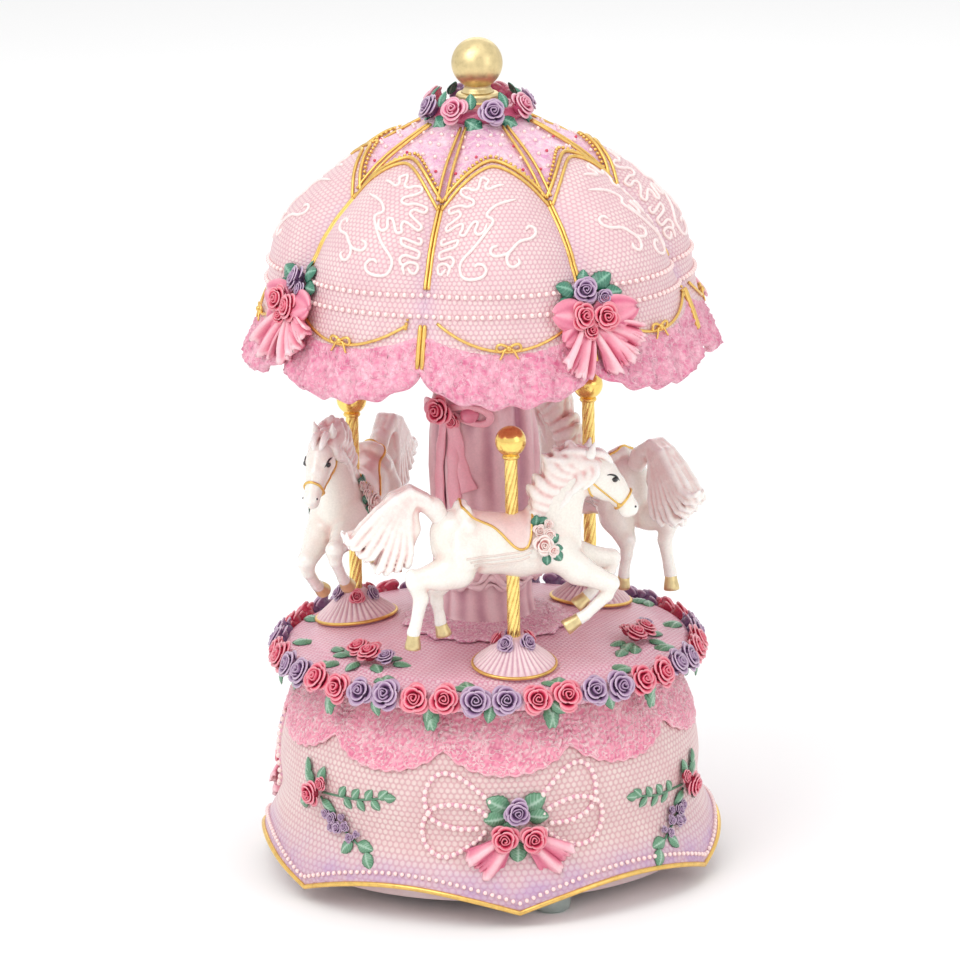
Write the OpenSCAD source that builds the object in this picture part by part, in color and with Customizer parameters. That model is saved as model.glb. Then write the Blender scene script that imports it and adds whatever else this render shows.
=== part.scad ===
// Carousel music box: a wind-up movement in a hollow base turns a platform with
// three horses on poles, a draped column and a scalloped canopy.
// The origin is on the table under the turning axis. The front is -Y.
// Angles round the axis run from the front towards +X.

/* [Base] */
// Largest radius of the flared skirt of the base
base_r = 55; // [53:0.5:57]
// Height of the base's top deck above the table
deck_z = 49; // [49:0.25:49.5]
// Height of the skirt's pointed corners above the table
corner_z = 3.5; // [3:0.5:5]
// Height of the arches between the corners above the table
arch_z = 9; // [7:0.5:10]
// Number of pointed corners round the skirt
corners = 6; // [6:1:8]
// Wall thickness of the base
base_wall = 3.5; // [3:0.5:4]

/* [Turntable] */
// Radius of the turning platform without its roses
table_r = 48; // [47:0.5:49]
// Radius of the circle that the poles stand on
pole_circle_r = 33.4; // [32:0.2:34]
// Number of horses
horses = 3; // [3]
// Angle of the first horse from the front
horse_turn = 4; // [0:1:20]
// Number of roses round the platform's edge
garland_roses = 44; // [40:4:48]

/* [Poles] */
// Radius of a horse's pole
pole_r = 1.5; // [1.2:0.1:1.6]
// Radius of the ball on a pole
ball_r = 3.5; // [3:0.1:4]
// Height of the ball's centre above the table
ball_z = 111; // [108:0.2:113]

/* [Canopy] */
// Radius of the canopy's scalloped hem
hem_r = 56; // [54:0.5:57]
// Height of the lowest points of the hem
hem_z = 124.5; // [122:0.5:126]
// Height of the hem's notches at the ribs
notch_z = 132.2; // [130:0.2:134]
// Thickness of the canopy's shell
canopy_wall = 2.4; // [2:0.2:3]
// Number of panels
panels = 8; // [6:2:10]

/* [Finial] */
// Radius of the gold ball on top
finial_r = 6; // [5:0.2:6.5]
// Height of the whole object
total_h = 200; // [196:1:204]

/* [Movement] */
// Teeth of the crown wheel on the spring barrel
crown_teeth = 36; // [36]
// Teeth of the pinion on the cylinder's arbor
pinion_teeth = 9; // [9]
// Teeth of the wheel on the cylinder's outer end
wheel_teeth = 30; // [30]
// Teeth of the pinion on the governor's first arbor
governor_pinion_teeth = 8; // [8]
// Teeth of the governor's worm wheel
worm_wheel_teeth = 20; // [20]
// Number of tuned teeth on the comb
notes = 18; // [12:1:18]

/* [Hidden] */
$fn = 48;

slip = 0.05;                     // radial running clearance
touch = 0.02;                    // gap between glued faces
shaft_r = 2;
horse_step = 360 / horses;
panel_step = 360 / panels;

// Base
ring_z = 5;                      // underside of the ring that carries the feet
ring_inner_r = 38;
ledge_r = 34;                    // inner edge of the ledge above the bottom cover
ledge_z = [11.5, 15.5];
cover_r = 37.7;
cover_z = [10, 11.5];
cover_screw_r = 35.9;
foot_r = 4.5;
foot_circle_r = 43.5;
foot_turn = 12;                  // the first foot's angle
skirt_inner_r = 49.5;
bow_r = 50.4;                    // where the pearl bows meet the wall
bow_z = 25;

// Turntable
table_z = 50.2;                  // underside of the platform
table_rim_z = 55.5;              // top of the platform at its edge
table_top_z = 59.5;              // top of the platform at the column
table_flat_r = 12;
table_slope = atan((table_top_z - table_rim_z) / (table_r - table_flat_r));
pole_foot_z = table_rim_z + (table_r - pole_circle_r) * tan(table_slope);
pedestal_h = 7.2;
garland_z = [50.8, 56.6];
garland_rose_r = 3.6;

// Column
column_r = 10.8;
column_top_z = 140;
tenon = [5, 10];                 // radius and length of the peg in the canopy
bow_turn = -48;                  // where the rose and bow hang on the column

// Horse: its own x runs forwards, y to its left and z up, from the pole at mid-body
horse_z = 87.4;

// Canopy: outer radius and height of the dome, from the crown down to the hem
dome = [[8, 183.2], [14.6, 180.2], [24.3, 176], [29.4, 173], [37.9, 167], [42.6, 163],
        [46.2, 159], [49, 152.6], [50, 146], [51, 140], [52.4, 134.5],
        [hem_r - 1.4, 129], [hem_r, hem_z]];
dome_steps = len(dome);
rib_end = 7;                     // the dome point where a rib ends at the pearls
pearl_rows_z = [144.6, 149];
pearl_r = 0.6;
swag_z = 140.6;
bouquet_z = 142.6;
crown_rose_r = 10;
crown_rose_z = 183.8;
collar_z = [183.2, 187];
hub_r = 11.2;
hub_top_z = 180;

// Movement: the cylinder's axis runs along +X from the barrel
bed_z = [16, 18];
barrel_z = [19, 30];
barrel_r = 11.2;
flange_h = 1.6;
crown_module = 0.7;
crown_r = crown_teeth * crown_module / 2;
crown_pitch_z = barrel_z[0] + flange_h + 0.75;
cylinder_z = crown_pitch_z + pinion_teeth * crown_module / 2;
cylinder_r = 6;
cylinder_x = [16.8, 32.8];
arbor_r = 1;
wheel_module = 0.4;
wheel_x = [33.2, 34.4];
wheel_pitch_r = wheel_teeth * wheel_module / 2;
governor_y = -(wheel_teeth + governor_pinion_teeth) * wheel_module / 2;
worm_module = 0.5;
worm_wheel_x = [36, 37.2];
worm_r = 1.3;
worm_core_r = 0.85;
worm_x = 36.6;
worm_y = governor_y - worm_wheel_teeth * worm_module / 2 - worm_r;
worm_lead = PI * worm_module;
worm_turns = 3;
key_arbor_r = 1.5;

// ---------- helpers ----------

module round_about(count, first = 0) {
    for (i = [0 : count - 1]) rotate([0, 0, first + i * 360 / count]) children();
}

module at_front(r, z) {
    translate([0, -r, z]) children();
}

module tube(outer, inner, z0, z1) {
    translate([0, 0, z0]) difference() {
        cylinder(r = outer, h = z1 - z0);
        translate([0, 0, -1]) cylinder(r = inner, h = z1 - z0 + 2);
    }
}

module along_x(r, x0, x1) {
    translate([x0, 0, 0]) rotate([0, 90, 0]) cylinder(r = r, h = x1 - x0);
}

// A toothed disc: teeth with sloping flanks, width a share of the pitch.
module gear_outline(teeth, m, width = 0.40, tip = 0.20, add = 0.8, ded = 1.0) {
    r = teeth * m / 2;
    step = 360 / teeth;
    root_r = r - ded * m;
    tip_r = r + add * m;
    union() {
        circle(r = root_r);
        for (i = [0 : teeth - 1]) rotate(i * step) polygon([
            [root_r - 0.3, -r * sin(width * step * 0.62)],
            [r, -r * sin(width * step / 2)],
            [tip_r, -tip_r * sin(tip * step / 2)],
            [tip_r, tip_r * sin(tip * step / 2)],
            [r, r * sin(width * step / 2)],
            [root_r - 0.3, r * sin(width * step * 0.62)]
        ]);
    }
}

module bud(r) {
    rotate_extrude($fn = 20) polygon([[0, -r * 0.6], [r * 0.7, -r * 0.55], [r, 0],
        [r * 0.85, r * 0.5], [r * 0.3, r * 0.75], [0, r * 0.6]]);
}

module leaf(length, width, thick) {
    linear_extrude(thick) polygon([[0, 0], [length * 0.45, width / 2],
        [length, 0], [length * 0.45, -width / 2]]);
}

module pan_screw(length, head_r = 1.9, shank_r = 0.95, head_h = 1.2) {
    // The head's seat is at z = 0 and the shank points up.
    translate([0, 0, -head_h]) difference() {
        cylinder(r = head_r, h = head_h, $fn = 24);
        translate([-head_r, -0.25, -0.1]) cube([2 * head_r, 0.5, 0.6]);
    }
    cylinder(r = shank_r, h = length, $fn = 24);
}

// ---------- base ----------

base_profile = [
    [base_r, corner_z], [base_r + 0.2, 7], [base_r - 0.8, 10.2], [51.5, 15.5],
    [50, 20.5], [50.3, 27], [49.6, 33], [47.5, 39.5], [44.8, 45], [42.5, deck_z]
];

module base_shell() {
    color("#f3c6cc") difference() {
        rotate_extrude($fn = 96) polygon(concat(
            base_profile,
            [[5.1, deck_z], [5.1, deck_z - base_wall], [40, deck_z - base_wall],
             [44, 38.5], [50.3 - base_wall, 27], [46.5, ledge_z[1]],
             [ledge_r, ledge_z[1]], [ledge_r, ledge_z[0]], [ring_inner_r, ledge_z[0]],
             [ring_inner_r, ring_z], [skirt_inner_r, ring_z], [52, corner_z]]
        ));
        skirt_arches();
        round_about(4, 45) at_front(cover_screw_r, ledge_z[0] - 1) cylinder(r = 1, h = 4, $fn = 20);
    }
}

// Wide radial cylinders that cut the arches between the skirt's corners.
module skirt_arches() {
    half_chord = base_r * sin(180 / corners);
    rise = arch_z - corner_z;
    arch_r = (half_chord * half_chord + rise * rise) / (2 * rise);
    round_about(corners, 180 / corners)
        at_front(0, arch_z - arch_r) rotate([90, 0, 0])
        translate([0, 0, skirt_inner_r]) cylinder(r = arch_r, h = 12, $fn = 96);
}

module bottom_cover() {
    color("#2f2c2e") difference() {
        translate([0, 0, cover_z[0]]) cylinder(r = cover_r, h = cover_z[1] - cover_z[0]);
        translate([0, 0, cover_z[0] - 1]) cylinder(r = 3.2, h = 4);
        round_about(4, 45) at_front(cover_screw_r, cover_z[0] - 1) cylinder(r = 1.15, h = 4, $fn = 20);
        movement_fixings(cover_z[0] - 1) cylinder(r = 1.15, h = 4, $fn = 20);
    }
}

module cover_screws() {
    color("silver") round_about(4, 45) at_front(cover_screw_r, cover_z[0]) pan_screw(4.3, shank_r = 0.9);
}

module rubber_feet() {
    color([0.8, 0.86, 0.84, 0.6]) round_about(3, foot_turn) at_front(foot_circle_r, 0)
        rotate_extrude($fn = 40) polygon([[0, 0], [foot_r - 1, 0], [foot_r - 0.3, 0.6],
            [foot_r, 1.6], [foot_r, ring_z - touch], [0, ring_z - touch]]);
}

module shaft_bush() {
    color("goldenrod") rotate_extrude() polygon([[shaft_r + slip, deck_z - 4.5],
        [5.05, deck_z - 4.5], [5.05, deck_z + touch], [6.5, deck_z + touch],
        [6.5, deck_z + 0.8], [shaft_r + slip, deck_z + 0.8]]);
}

// Loops of pearls that make a bow, each lying against the wall at its own angle.
module pearl_bows() {
    color("#fbe3e0") round_about(3) for (s = [-1, 1]) for (r = [3.4, 5.6])
        rotate([0, 0, s * 13.5]) at_front(bow_r, bow_z) rotate([90, 0, 0]) linear_extrude(1) difference() {
            circle(r = r);
            circle(r = r - 1.2);
        }
}

module base_bouquets() {
    color("#d9506e") round_about(3) {
        at_front(53, 26.6) rotate([90, 0, 0]) bud(3);
        for (s = [-1, 1]) {
            rotate([0, 0, 3.6 * s]) at_front(53.4, 21.2) rotate([90, 0, 0]) bud(3.1);
            rotate([0, 0, 7.5 * s]) at_front(53.4, 15.5)
                rotate([-25, 30 * s, 0]) cube([5, 1.2, 7], center = true);
            rotate([0, 0, 7.5 * s]) at_front(52.4, 25.5) rotate([90, 0, 0])
                rotate([0, 0, 90 - 60 * s]) leaf(5, 3.6, 0.9);
        }
        at_front(54.4, 17) rotate([90, 0, 0]) rotate([0, 0, -90]) leaf(5, 3.6, 0.9);
    }
}

module base_sprays() {
    color("#79b595") round_about(3, 60) {
        at_front(52.3, 25) rotate([90, 0, 0]) bud(2.4);
        for (s = [-1, 1]) for (k = [0 : 2])
            rotate([0, 0, s * (6 + 4.2 * k)]) at_front(51.9, 25 + 1.6 * k - 6 * (s + 1) / 2)
                rotate([90, 0, 0]) bud(1.4);
    }
}

// ---------- music movement ----------

module movement_fixings(z) {
    for (p = [[-12, 13], [-12, -13], [27, 15.5]]) translate([p[0], p[1], z]) children();
}

module bedplate() {
    color("#b9bcc0") difference() {
        union() {
            translate([-16, -21, bed_z[0]]) cube([55.5, 40.5, bed_z[1] - bed_z[0]]);
            movement_fixings(cover_z[1]) cylinder(r = 2.6, h = bed_z[0] - cover_z[1] + 0.5, $fn = 24);
            translate([cylinder_x[0], 12.6, bed_z[1] - 0.5]) cube([cylinder_x[1] - cylinder_x[0], 6.6, 5.6]);
        }
        translate([0, 0, bed_z[0] - 1]) cylinder(r = key_arbor_r + slip, h = 5);
        movement_fixings(cover_z[1] - 1) cylinder(r = 0.95, h = 5.2, $fn = 20);
        for (x = [20.5, 29.1]) translate([x, 16, 19]) cylinder(r = 0.9, h = 6, $fn = 20);
        translate([36, 2, bed_z[0] - 1]) cube([8, 20, 5]);
    }
}

module movement_screws() {
    color("silver") movement_fixings(cover_z[0]) pan_screw(4.6, shank_r = 0.9);
}

module comb() {
    pitch = (cylinder_x[1] - cylinder_x[0]) / notes;
    color("#d5d8dc") translate([cylinder_x[0], 0, cylinder_z - 1.4 + touch]) difference() {
        union() {
            translate([0, 12.6, 0]) cube([cylinder_x[1] - cylinder_x[0], 6.6, 1.6]);
            for (i = [0 : notes - 1]) translate([i * pitch + 0.1, 6.75, 0.5])
                cube([pitch - 0.2, 6, 0.45 + 0.3 * (1 - i / notes)]);
        }
        for (x = [20.5, 29.1]) translate([x - cylinder_x[0], 16, -1]) cylinder(r = 1.15, h = 5, $fn = 20);
    }
}

module comb_screws() {
    color("silver") for (x = [20.5, 29.1])
        translate([x, 16, cylinder_z + 0.2 + 2 * touch]) mirror([0, 0, 1]) pan_screw(4.5, shank_r = 0.8);
}

module cylinder_bracket() {
    color("#9da1a6") difference() {
        translate([14.7, -2.2, bed_z[1] + touch]) cube([1.4, 4.4, cylinder_z - bed_z[1] + 2]);
        translate([0, 0, cylinder_z]) along_x(arbor_r + slip, 14, 17);
    }
}

module governor_bracket() {
    floor_z = bed_z[1] + touch;
    plate_h = cylinder_z - floor_z + 2.2;
    color("#9da1a6") difference() {
        union() {
            translate([34.8, -10, floor_z]) cube([0.9, 12.6, plate_h]);
            translate([37.8, -12.2, floor_z]) cube([1.2, 8, plate_h]);
            translate([34.8, -20.8, floor_z]) cube([4.2, 16, 0.8]);
            translate([35.1, -20.8, floor_z]) cube([3, 1.4, 20]);
            translate([35.1, -20.8, floor_z + 18.8]) cube([3, 8.6, 1.2]);
        }
        translate([0, 0, cylinder_z]) along_x(arbor_r + slip, 34, 36);
        translate([0, governor_y, cylinder_z]) along_x(0.6 + slip, 34, 40);
        translate([worm_x, worm_y, floor_z - 1]) cylinder(r = 0.5 + slip, h = 24, $fn = 24);
    }
}

module spring_barrel() {
    teeth_z = barrel_z[0] + flange_h;
    step = 360 / crown_teeth;
    color("#c9a54a") union() {
        difference() {
            union() {
                translate([0, 0, barrel_z[0]]) cylinder(r = crown_r + 1.6, h = flange_h);
                translate([0, 0, barrel_z[0]]) cylinder(r = barrel_r, h = barrel_z[1] - barrel_z[0]);
            }
            translate([0, 0, barrel_z[0] + flange_h]) cylinder(r = barrel_r - 0.8, h = 8.4);
            translate([0, 0, barrel_z[0] - 1]) cylinder(r = key_arbor_r + 0.1, h = 4);
        }
        for (i = [0 : crown_teeth - 1]) rotate([0, 0, (i + 0.5) * step])
            translate([crown_r - 0.9, 0, teeth_z - 0.2]) rotate([90, 0, 90]) linear_extrude(1.8)
                polygon([[-0.52, 0], [-0.42, 0.95], [-0.22, 1.5], [0.22, 1.5], [0.42, 0.95], [0.52, 0]]);
    }
}

module mainspring() {
    turns = 5;
    steps = 20;
    inner = 3.4;
    grow = (barrel_r - 1.4 - inner) / turns;
    function coil(a, off) = (inner + grow * a / 360 + off) * [cos(a), sin(a)];
    color("#6f7780") translate([0, 0, barrel_z[0] + flange_h + 0.6]) linear_extrude(6.8) polygon(concat(
        [for (i = [0 : turns * steps]) coil(i * 360 / steps, 0)],
        [for (i = [turns * steps : -1 : 0]) coil(i * 360 / steps, 0.4)]
    ));
}

module output_shaft() {
    color("#d8d3c8") translate([0, 0, barrel_z[1]]) cylinder(r = shaft_r, h = 33.4 - touch);
}

module shaft_nut() {
    color("#c9a54a") difference() {
        translate([0, 0, table_top_z + touch]) cylinder(r = 4.2, h = 2.4, $fn = 6);
        cylinder(r = shaft_r + slip, h = 80);
    }
}

module winding_arbor() {
    color("#d8d3c8") translate([0, 0, 7]) cylinder(r = key_arbor_r, h = 21);
}

module winding_key() {
    color("#cfae57") difference() {
        union() {
            translate([0, 0, 5.8]) cylinder(r = 2.7, h = 3.6);
            rotate([90, 0, 0]) linear_extrude(1.2, center = true) difference() {
                union() {
                    translate([-6, 4]) square([12, 2.6]);
                    for (s = [-1, 1]) translate([s * 8, 5.3]) scale([1, 0.75]) circle(r = 4.4);
                }
                for (s = [-1, 1]) translate([s * 8.4, 5.3]) circle(r = 1.3);
            }
        }
        translate([0, 0, 7 - touch]) cylinder(r = key_arbor_r + slip, h = 4);
    }
}

module music_cylinder() {
    pin_step = (cylinder_x[1] - cylinder_x[0]) / notes;
    color("#d9b45c") translate([0, 0, cylinder_z]) difference() {
        union() {
            along_x(cylinder_r, cylinder_x[0] + 0.1, cylinder_x[1] - 0.1);
            for (i = [0 : notes - 1]) for (k = [0 : 2])
                rotate([i * 67 + k * 121 + 40, 0, 0])
                    translate([cylinder_x[0] + (i + 0.5) * pin_step, cylinder_r - 0.2, 0])
                    rotate([-90, 0, 0]) cylinder(r = 0.18, h = 0.55, $fn = 14);
        }
        along_x(arbor_r + touch, 10, 40);
    }
}

module cylinder_arbor() {
    color("#c9a54a") translate([0, 0, cylinder_z]) union() {
        along_x(arbor_r, 12, 35.7);
        translate([crown_r - 0.75, 0, 0]) rotate([90, 0, 90]) linear_extrude(1.5)
            rotate(-90) gear_outline(pinion_teeth, crown_module, 0.36, 0.16, 0.8, 1.1);
    }
}

module cylinder_wheel() {
    color("#c9a54a") translate([wheel_x[0], 0, cylinder_z]) rotate([90, 0, 90])
        linear_extrude(wheel_x[1] - wheel_x[0]) difference() {
            gear_outline(wheel_teeth, wheel_module, 0.40, 0.18, 0.8, 1.1);
            circle(r = arbor_r + touch);
        }
}

module governor_wheel() {
    color("#c9a54a") translate([0, governor_y, cylinder_z]) union() {
        along_x(0.6, 33, 38.9);
        translate([wheel_x[0], 0, 0]) rotate([90, 0, 90]) linear_extrude(wheel_x[1] - wheel_x[0])
            rotate(180 / governor_pinion_teeth)
            gear_outline(governor_pinion_teeth, wheel_module, 0.38, 0.16, 0.8, 1.1);
        translate([worm_wheel_x[0], 0, 0]) rotate([90, 0, 90])
            linear_extrude(worm_wheel_x[1] - worm_wheel_x[0])
            gear_outline(worm_wheel_teeth, worm_module, 0.34, 0.16, 0.7, 1.0);
    }
}

// A cut across the worm: the tip spans 40 degrees each side and falls to the core by 86.
function worm_section_r(a) = lookup(a, [[40, worm_r + 0.32], [86, worm_core_r], [180, worm_core_r]]);

// Arbor, single-start worm and air brake.
module governor_fan() {
    worm_h = worm_turns * worm_lead;
    color("#d8d3c8") translate([worm_x, worm_y, 0]) union() {
        translate([0, 0, bed_z[1] + 0.4]) cylinder(r = 0.5, h = 19.4, $fn = 24);
        translate([0, 0, cylinder_z - worm_h / 2]) rotate([0, 0, 90])
            linear_extrude(worm_h, twist = -360 * worm_turns, slices = 14 * worm_turns, $fn = 20)
            polygon([for (a = [-180 : 18 : 162]) worm_section_r(abs(a)) * [cos(a), sin(a)]]);
        translate([0, 0, 30]) cylinder(r = 1, h = 5.6, $fn = 24);
        translate([-4.2, -0.25, 30.4]) cube([8.4, 0.5, 4.8]);
    }
}

// ---------- turntable and column ----------

module turntable() {
    color("#f0b6c2") rotate_extrude($fn = 96) polygon([
        [shaft_r + slip, 52.8], [43.5, 52.8], [43.5, table_z], [table_r - 0.8, table_z],
        [table_r, table_z + 0.8], [table_r, table_rim_z - 0.6], [table_r - 0.6, table_rim_z + 0.07],
        [table_flat_r, table_top_z], [shaft_r + slip, table_top_z]
    ]);
}

// One ring whose outline bulges once for each rose.
module rose_garland() {
    color("#cf4f6b") translate([0, 0, garland_z[0]]) linear_extrude(garland_z[1] - garland_z[0]) difference() {
        for (i = [0 : garland_roses - 1]) rotate(i * 360 / garland_roses) translate([table_r, 0])
            circle(r = garland_rose_r, $fn = 16);
        circle(r = table_r + touch);
    }
}

module platform_sprigs() {
    for (i = [0 : horses - 1]) rotate([0, 0, horse_turn + (i + 0.5) * horse_step]) at_front(37, 56.8) {
        color("#d9506e") for (x = [-2.6, 2.6]) translate([x, 0, 2.1]) bud(2.4);
        color("#a58cc4") translate([7, 1, 1.6]) bud(2);
        color("#79b595") for (s = [-1, 1]) translate([s * 5, -1.6, 0.6]) rotate([0, 0, 90 - 70 * s]) leaf(5, 3, 0.8);
    }
}

module column_ruffle() {
    color("#ef9db5") rotate_extrude() polygon([[column_r + touch, table_top_z + touch],
        [12, table_top_z + touch], [20, table_top_z - 8 * tan(table_slope) + touch],
        [20.3, 60], [16, 61.6], [column_r + touch, 62.4]]);
}

module column() {
    color("#d99aab") difference() {
        rotate_extrude() polygon([
            [0, table_top_z + touch], [column_r, table_top_z + touch], [10.4, 66], [10.4, 73], [11.6, 74.5],
            [12, 77], [11.6, 83], [12, 95], [11.6, 108], [10.8, 116], [11.6, 119], [11.2, 126],
            [11.2, column_top_z - touch], [tenon[0], column_top_z - touch],
            [tenon[0], column_top_z + tenon[1]], [0, column_top_z + tenon[1]]
        ]);
        translate([0, 0, 50]) cylinder(r = 5, h = 16);
    }
}

module column_bow() {
    color("#e0708f") rotate([0, 0, bow_turn]) {
        at_front(13.4, 113) rotate([90, 0, 0]) bud(3);
        for (s = [-1, 1]) rotate([0, 0, 26 * s]) at_front(12.6, 112.5) rotate([90, 0, 0])
            linear_extrude(1) scale([1, 0.7]) circle(r = 4.4, $fn = 28);
        for (s = [-1, 1]) rotate([0, 0, 12 * s]) at_front(12.9, 103) rotate([0, 12 * s, 0])
            cube([2.4, 1, 14], center = true);
    }
}

// ---------- horses ----------

module stand_horse(i) {
    rotate([0, 0, horse_turn + (i - 1) * horse_step]) at_front(pole_circle_r, 0) children();
}

module pedestal(i) {
    color("#e9b7cd") stand_horse(i) difference() {
        translate([0, 0, pole_foot_z]) rotate([table_slope, 0, 0]) rotate_extrude() polygon([
            [0, touch], [9.5, touch], [9.8, 0.6], [9.4, 1.5], [6.6, 4], [3.9, 6.4],
            [2.6, pedestal_h], [0, pedestal_h]]);
        translate([0, 0, pole_foot_z + 1.8]) cylinder(r = pole_r + touch, h = 12);
    }
}

module pole(i) {
    color("#d8a528") stand_horse(i) translate([0, 0, pole_foot_z + 1.9])
        cylinder(r = pole_r, h = ball_z - 1.4 - pole_foot_z - 1.9);
}

module pole_ball(i) {
    color("#d8a528") stand_horse(i) translate([0, 0, ball_z]) difference() {
        sphere(r = ball_r);
        translate([0, 0, -ball_r - 1]) cylinder(r = pole_r + touch, h = ball_r - 0.3);
    }
}

// Joints of the horse's figure: [start, radius, end, radius].
trunk = [
    [[9.5, 0, -1], 6.8, [-10.5, 0, 0.2], 6.6],
    [[9, 0, 0.5], 5.6, [14, 0, 9], 4.4],
    [[14, 0, 9], 4.4, [17.2, 0, 15], 3.4],
    [[17.6, 0, 15.2], 3.1, [25.4, 0, 8.6], 2.2],
    [[10, 0, 15], 1.6, [5.4, 0, 5], 1.6],
    [[15, 0, 18], 1.4, [10, 0, 15], 1.6]
];
tail = [
    [[-15, 0, 4], 2, [-20.5, 0, 10.4], 2.2],
    [[-20.5, 0, 10.4], 2.2, [-26.5, 0, 7.2], 2.4],
    [[-26.5, 0, 7.2], 2.4, [-27, 0, 0], 2.4],
    [[-26.8, 0, 2.5], 2, [-34.5, 0, 2.6], 1.3]
];
legs = [
    [[-11.5, -3.4, -3], 4, [-18.4, -3.6, -11], 2],
    [[-18.4, -3.6, -11], 2, [-21, -3.8, -20.6], 1.5],
    [[-11.5, 3.4, -3.4], 3.8, [-15.8, 3.6, -11.6], 2],
    [[-15.8, 3.6, -11.6], 2, [-14.6, 3.8, -18.6], 1.5],
    [[11, -3.2, -4.4], 3.4, [22.4, -3.8, -8], 2],
    [[22.4, -3.8, -8], 2, [13.8, -4, -17.8], 1.6],
    [[11, 3.2, -3], 3.4, [22.6, 3.8, -3.6], 2],
    [[22.6, 3.8, -3.6], 2, [17, 4, -13.4], 1.5]
];

module limb(s, fine) {
    hull() {
        translate(s[0]) sphere(r = s[1], $fn = fine);
        translate(s[2]) sphere(r = s[3], $fn = fine);
    }
}

module horse(i) {
    color("#fbf3ea") stand_horse(i) translate([0, 0, horse_z]) difference() {
        union() {
            for (s = trunk) limb(s, 16);
            for (s = tail) limb(s, 10);
            for (s = legs) limb(s, 10);
            for (s = [-1, 1]) translate([16.6, 1.6 * s, 17.4]) rotate([0, 12, 0]) cylinder(r1 = 1.1, r2 = 0.3, h = 4.4, $fn = 10);
            translate([-4, 0, 4]) scale([1, 1, 0.62]) sphere(r = 5, $fn = 16);
        }
        translate([0, 0, -20]) cylinder(r = pole_r + 0.12, h = 40, $fn = 24);
    }
}

// ---------- canopy ----------

function inset(k) = [dome[k][0] - canopy_wall * (k < 3 ? 0.4 : 1), dome[k][1] - canopy_wall * (k > rib_end ? 0 : 1)];
function dome_r(z) = lookup(z, [for (p = dome) [p[1], p[0]]]);

module canopy() {
    half_chord = (hem_r - 2) * sin(panel_step / 2);
    drop = notch_z - hem_z;
    lobe_r = (half_chord * half_chord + drop * drop) / (2 * drop);
    color("#f6b9c9") difference() {
        union() {
            intersection() {
                rotate_extrude($fn = 96) polygon(concat([[0, dome[0][1]]], dome,
                    [for (k = [dome_steps - 1 : -1 : 1]) inset(k)], [[0, inset(1)[1]]]));
                union() {
                    translate([0, 0, 139]) cylinder(r = hem_r + 5, h = 60);
                    round_about(panels) at_front(0, hem_z + lobe_r) rotate([90, 0, 0])
                        cylinder(r = lobe_r, h = hem_r + 5, $fn = 96);
                }
            }
            translate([0, 0, column_top_z]) cylinder(r = hub_r, h = hub_top_z - column_top_z);
        }
        translate([0, 0, column_top_z - 1]) cylinder(r = tenon[0] + touch, h = tenon[1] + 1.5);
        translate([0, 0, 174]) cylinder(r = 1.6, h = 20, $fn = 24);
    }
}

// Thin fins over the dome between the panels, from the crown to the pearls.
module canopy_ribs() {
    color("#d8a528") {
        round_about(panels, panel_step / 2) rotate([90, 0, -90]) linear_extrude(1, center = true) polygon(concat(
            [for (k = [1 : rib_end]) dome[k] + [touch, touch]],
            [for (k = [rib_end : -1 : 1]) dome[k] + [0.55, 0.55]]));
        round_about(panels, panel_step / 2) at_front(dome_r(137) + 0.7, 137) rotate([-12, 0, 0])
            cube([1.7, 0.8, 7], center = true);
    }
}

module canopy_pearls() {
    color("#fde8e6") for (z = pearl_rows_z) rotate_extrude($fn = 96)
        translate([dome_r(z) + 0.5, z]) circle(r = pearl_r, $fn = 16);
}

module canopy_swags() {
    swag_r = 30;
    color("#d8a528") round_about(panels) at_front(dome_r(swag_z) - 0.2, swag_z + swag_r - 3.4) rotate([90, 0, 0]) {
        linear_extrude(1) difference() {
            intersection() {
                circle(r = swag_r, $fn = 96);
                translate([-14, -swag_r - 1]) square([28, 5]);
            }
            circle(r = swag_r - 0.8, $fn = 96);
        }
        translate([0, -swag_r + 0.6, 0]) cylinder(r = 1.2, h = 1.6, $fn = 20);
    }
}

module canopy_bouquets() {
    round_about(4, panel_step / 2) {
        color("#a58cc4") at_front(52.4, bouquet_z + 4.6) rotate([90, 0, 0]) bud(2.7);
        color("#d9506e") for (s = [-1, 1]) rotate([0, 0, 3.2 * s]) at_front(53.4, bouquet_z) rotate([90, 0, 0]) bud(2.8);
        color("#5f9f86") {
            for (s = [-1, 1]) rotate([0, 0, 6 * s]) at_front(51.2, bouquet_z + 4) rotate([90, 0, 0])
                rotate([0, 0, 90 - 60 * s]) leaf(5.4, 3.4, 0.9);
            at_front(52.6, bouquet_z - 2.5) rotate([90, 0, 0]) rotate([0, 0, -90]) leaf(5, 3.4, 0.9);
        }
        color("#f08ba6") for (s = [-1, 1]) {
            rotate([0, 0, 8.5 * s]) at_front(52, bouquet_z - 0.4)
                cube([7, 2, 6], center = true);
            rotate([0, 0, 6 * s]) at_front(53.4, bouquet_z - 8) rotate([-8, -28 * s, 0])
                cube([4.4, 1.4, 10], center = true);
        }
    }
}

module crown_roses() {
    color("#dd8fae") round_about(8) at_front(crown_rose_r, crown_rose_z) rotate([48, 0, 0]) bud(2.9);
}

module finial_collar() {
    color("#d9b45c") difference() {
        rotate_extrude() polygon([[0, collar_z[0] + touch], [6.4, collar_z[0] + touch], [6.4, collar_z[0] + 1.8],
            [5, collar_z[0] + 2.4], [5, collar_z[1] - 0.5], [4.6, collar_z[1]], [0, collar_z[1]]]);
        translate([0, 0, 180]) cylinder(r = 1.6, h = 20, $fn = 24);
    }
}

module finial() {
    centre_z = total_h - finial_r;
    color("#c9a446") union() {
        translate([0, 0, centre_z]) sphere(r = finial_r, $fn = 64);
        translate([0, 0, collar_z[1] + touch]) cylinder(r1 = 3.6, r2 = 3, h = 3);
        translate([0, 0, 176]) cylinder(r = 1.55, h = 14, $fn = 24);
    }
}

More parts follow.
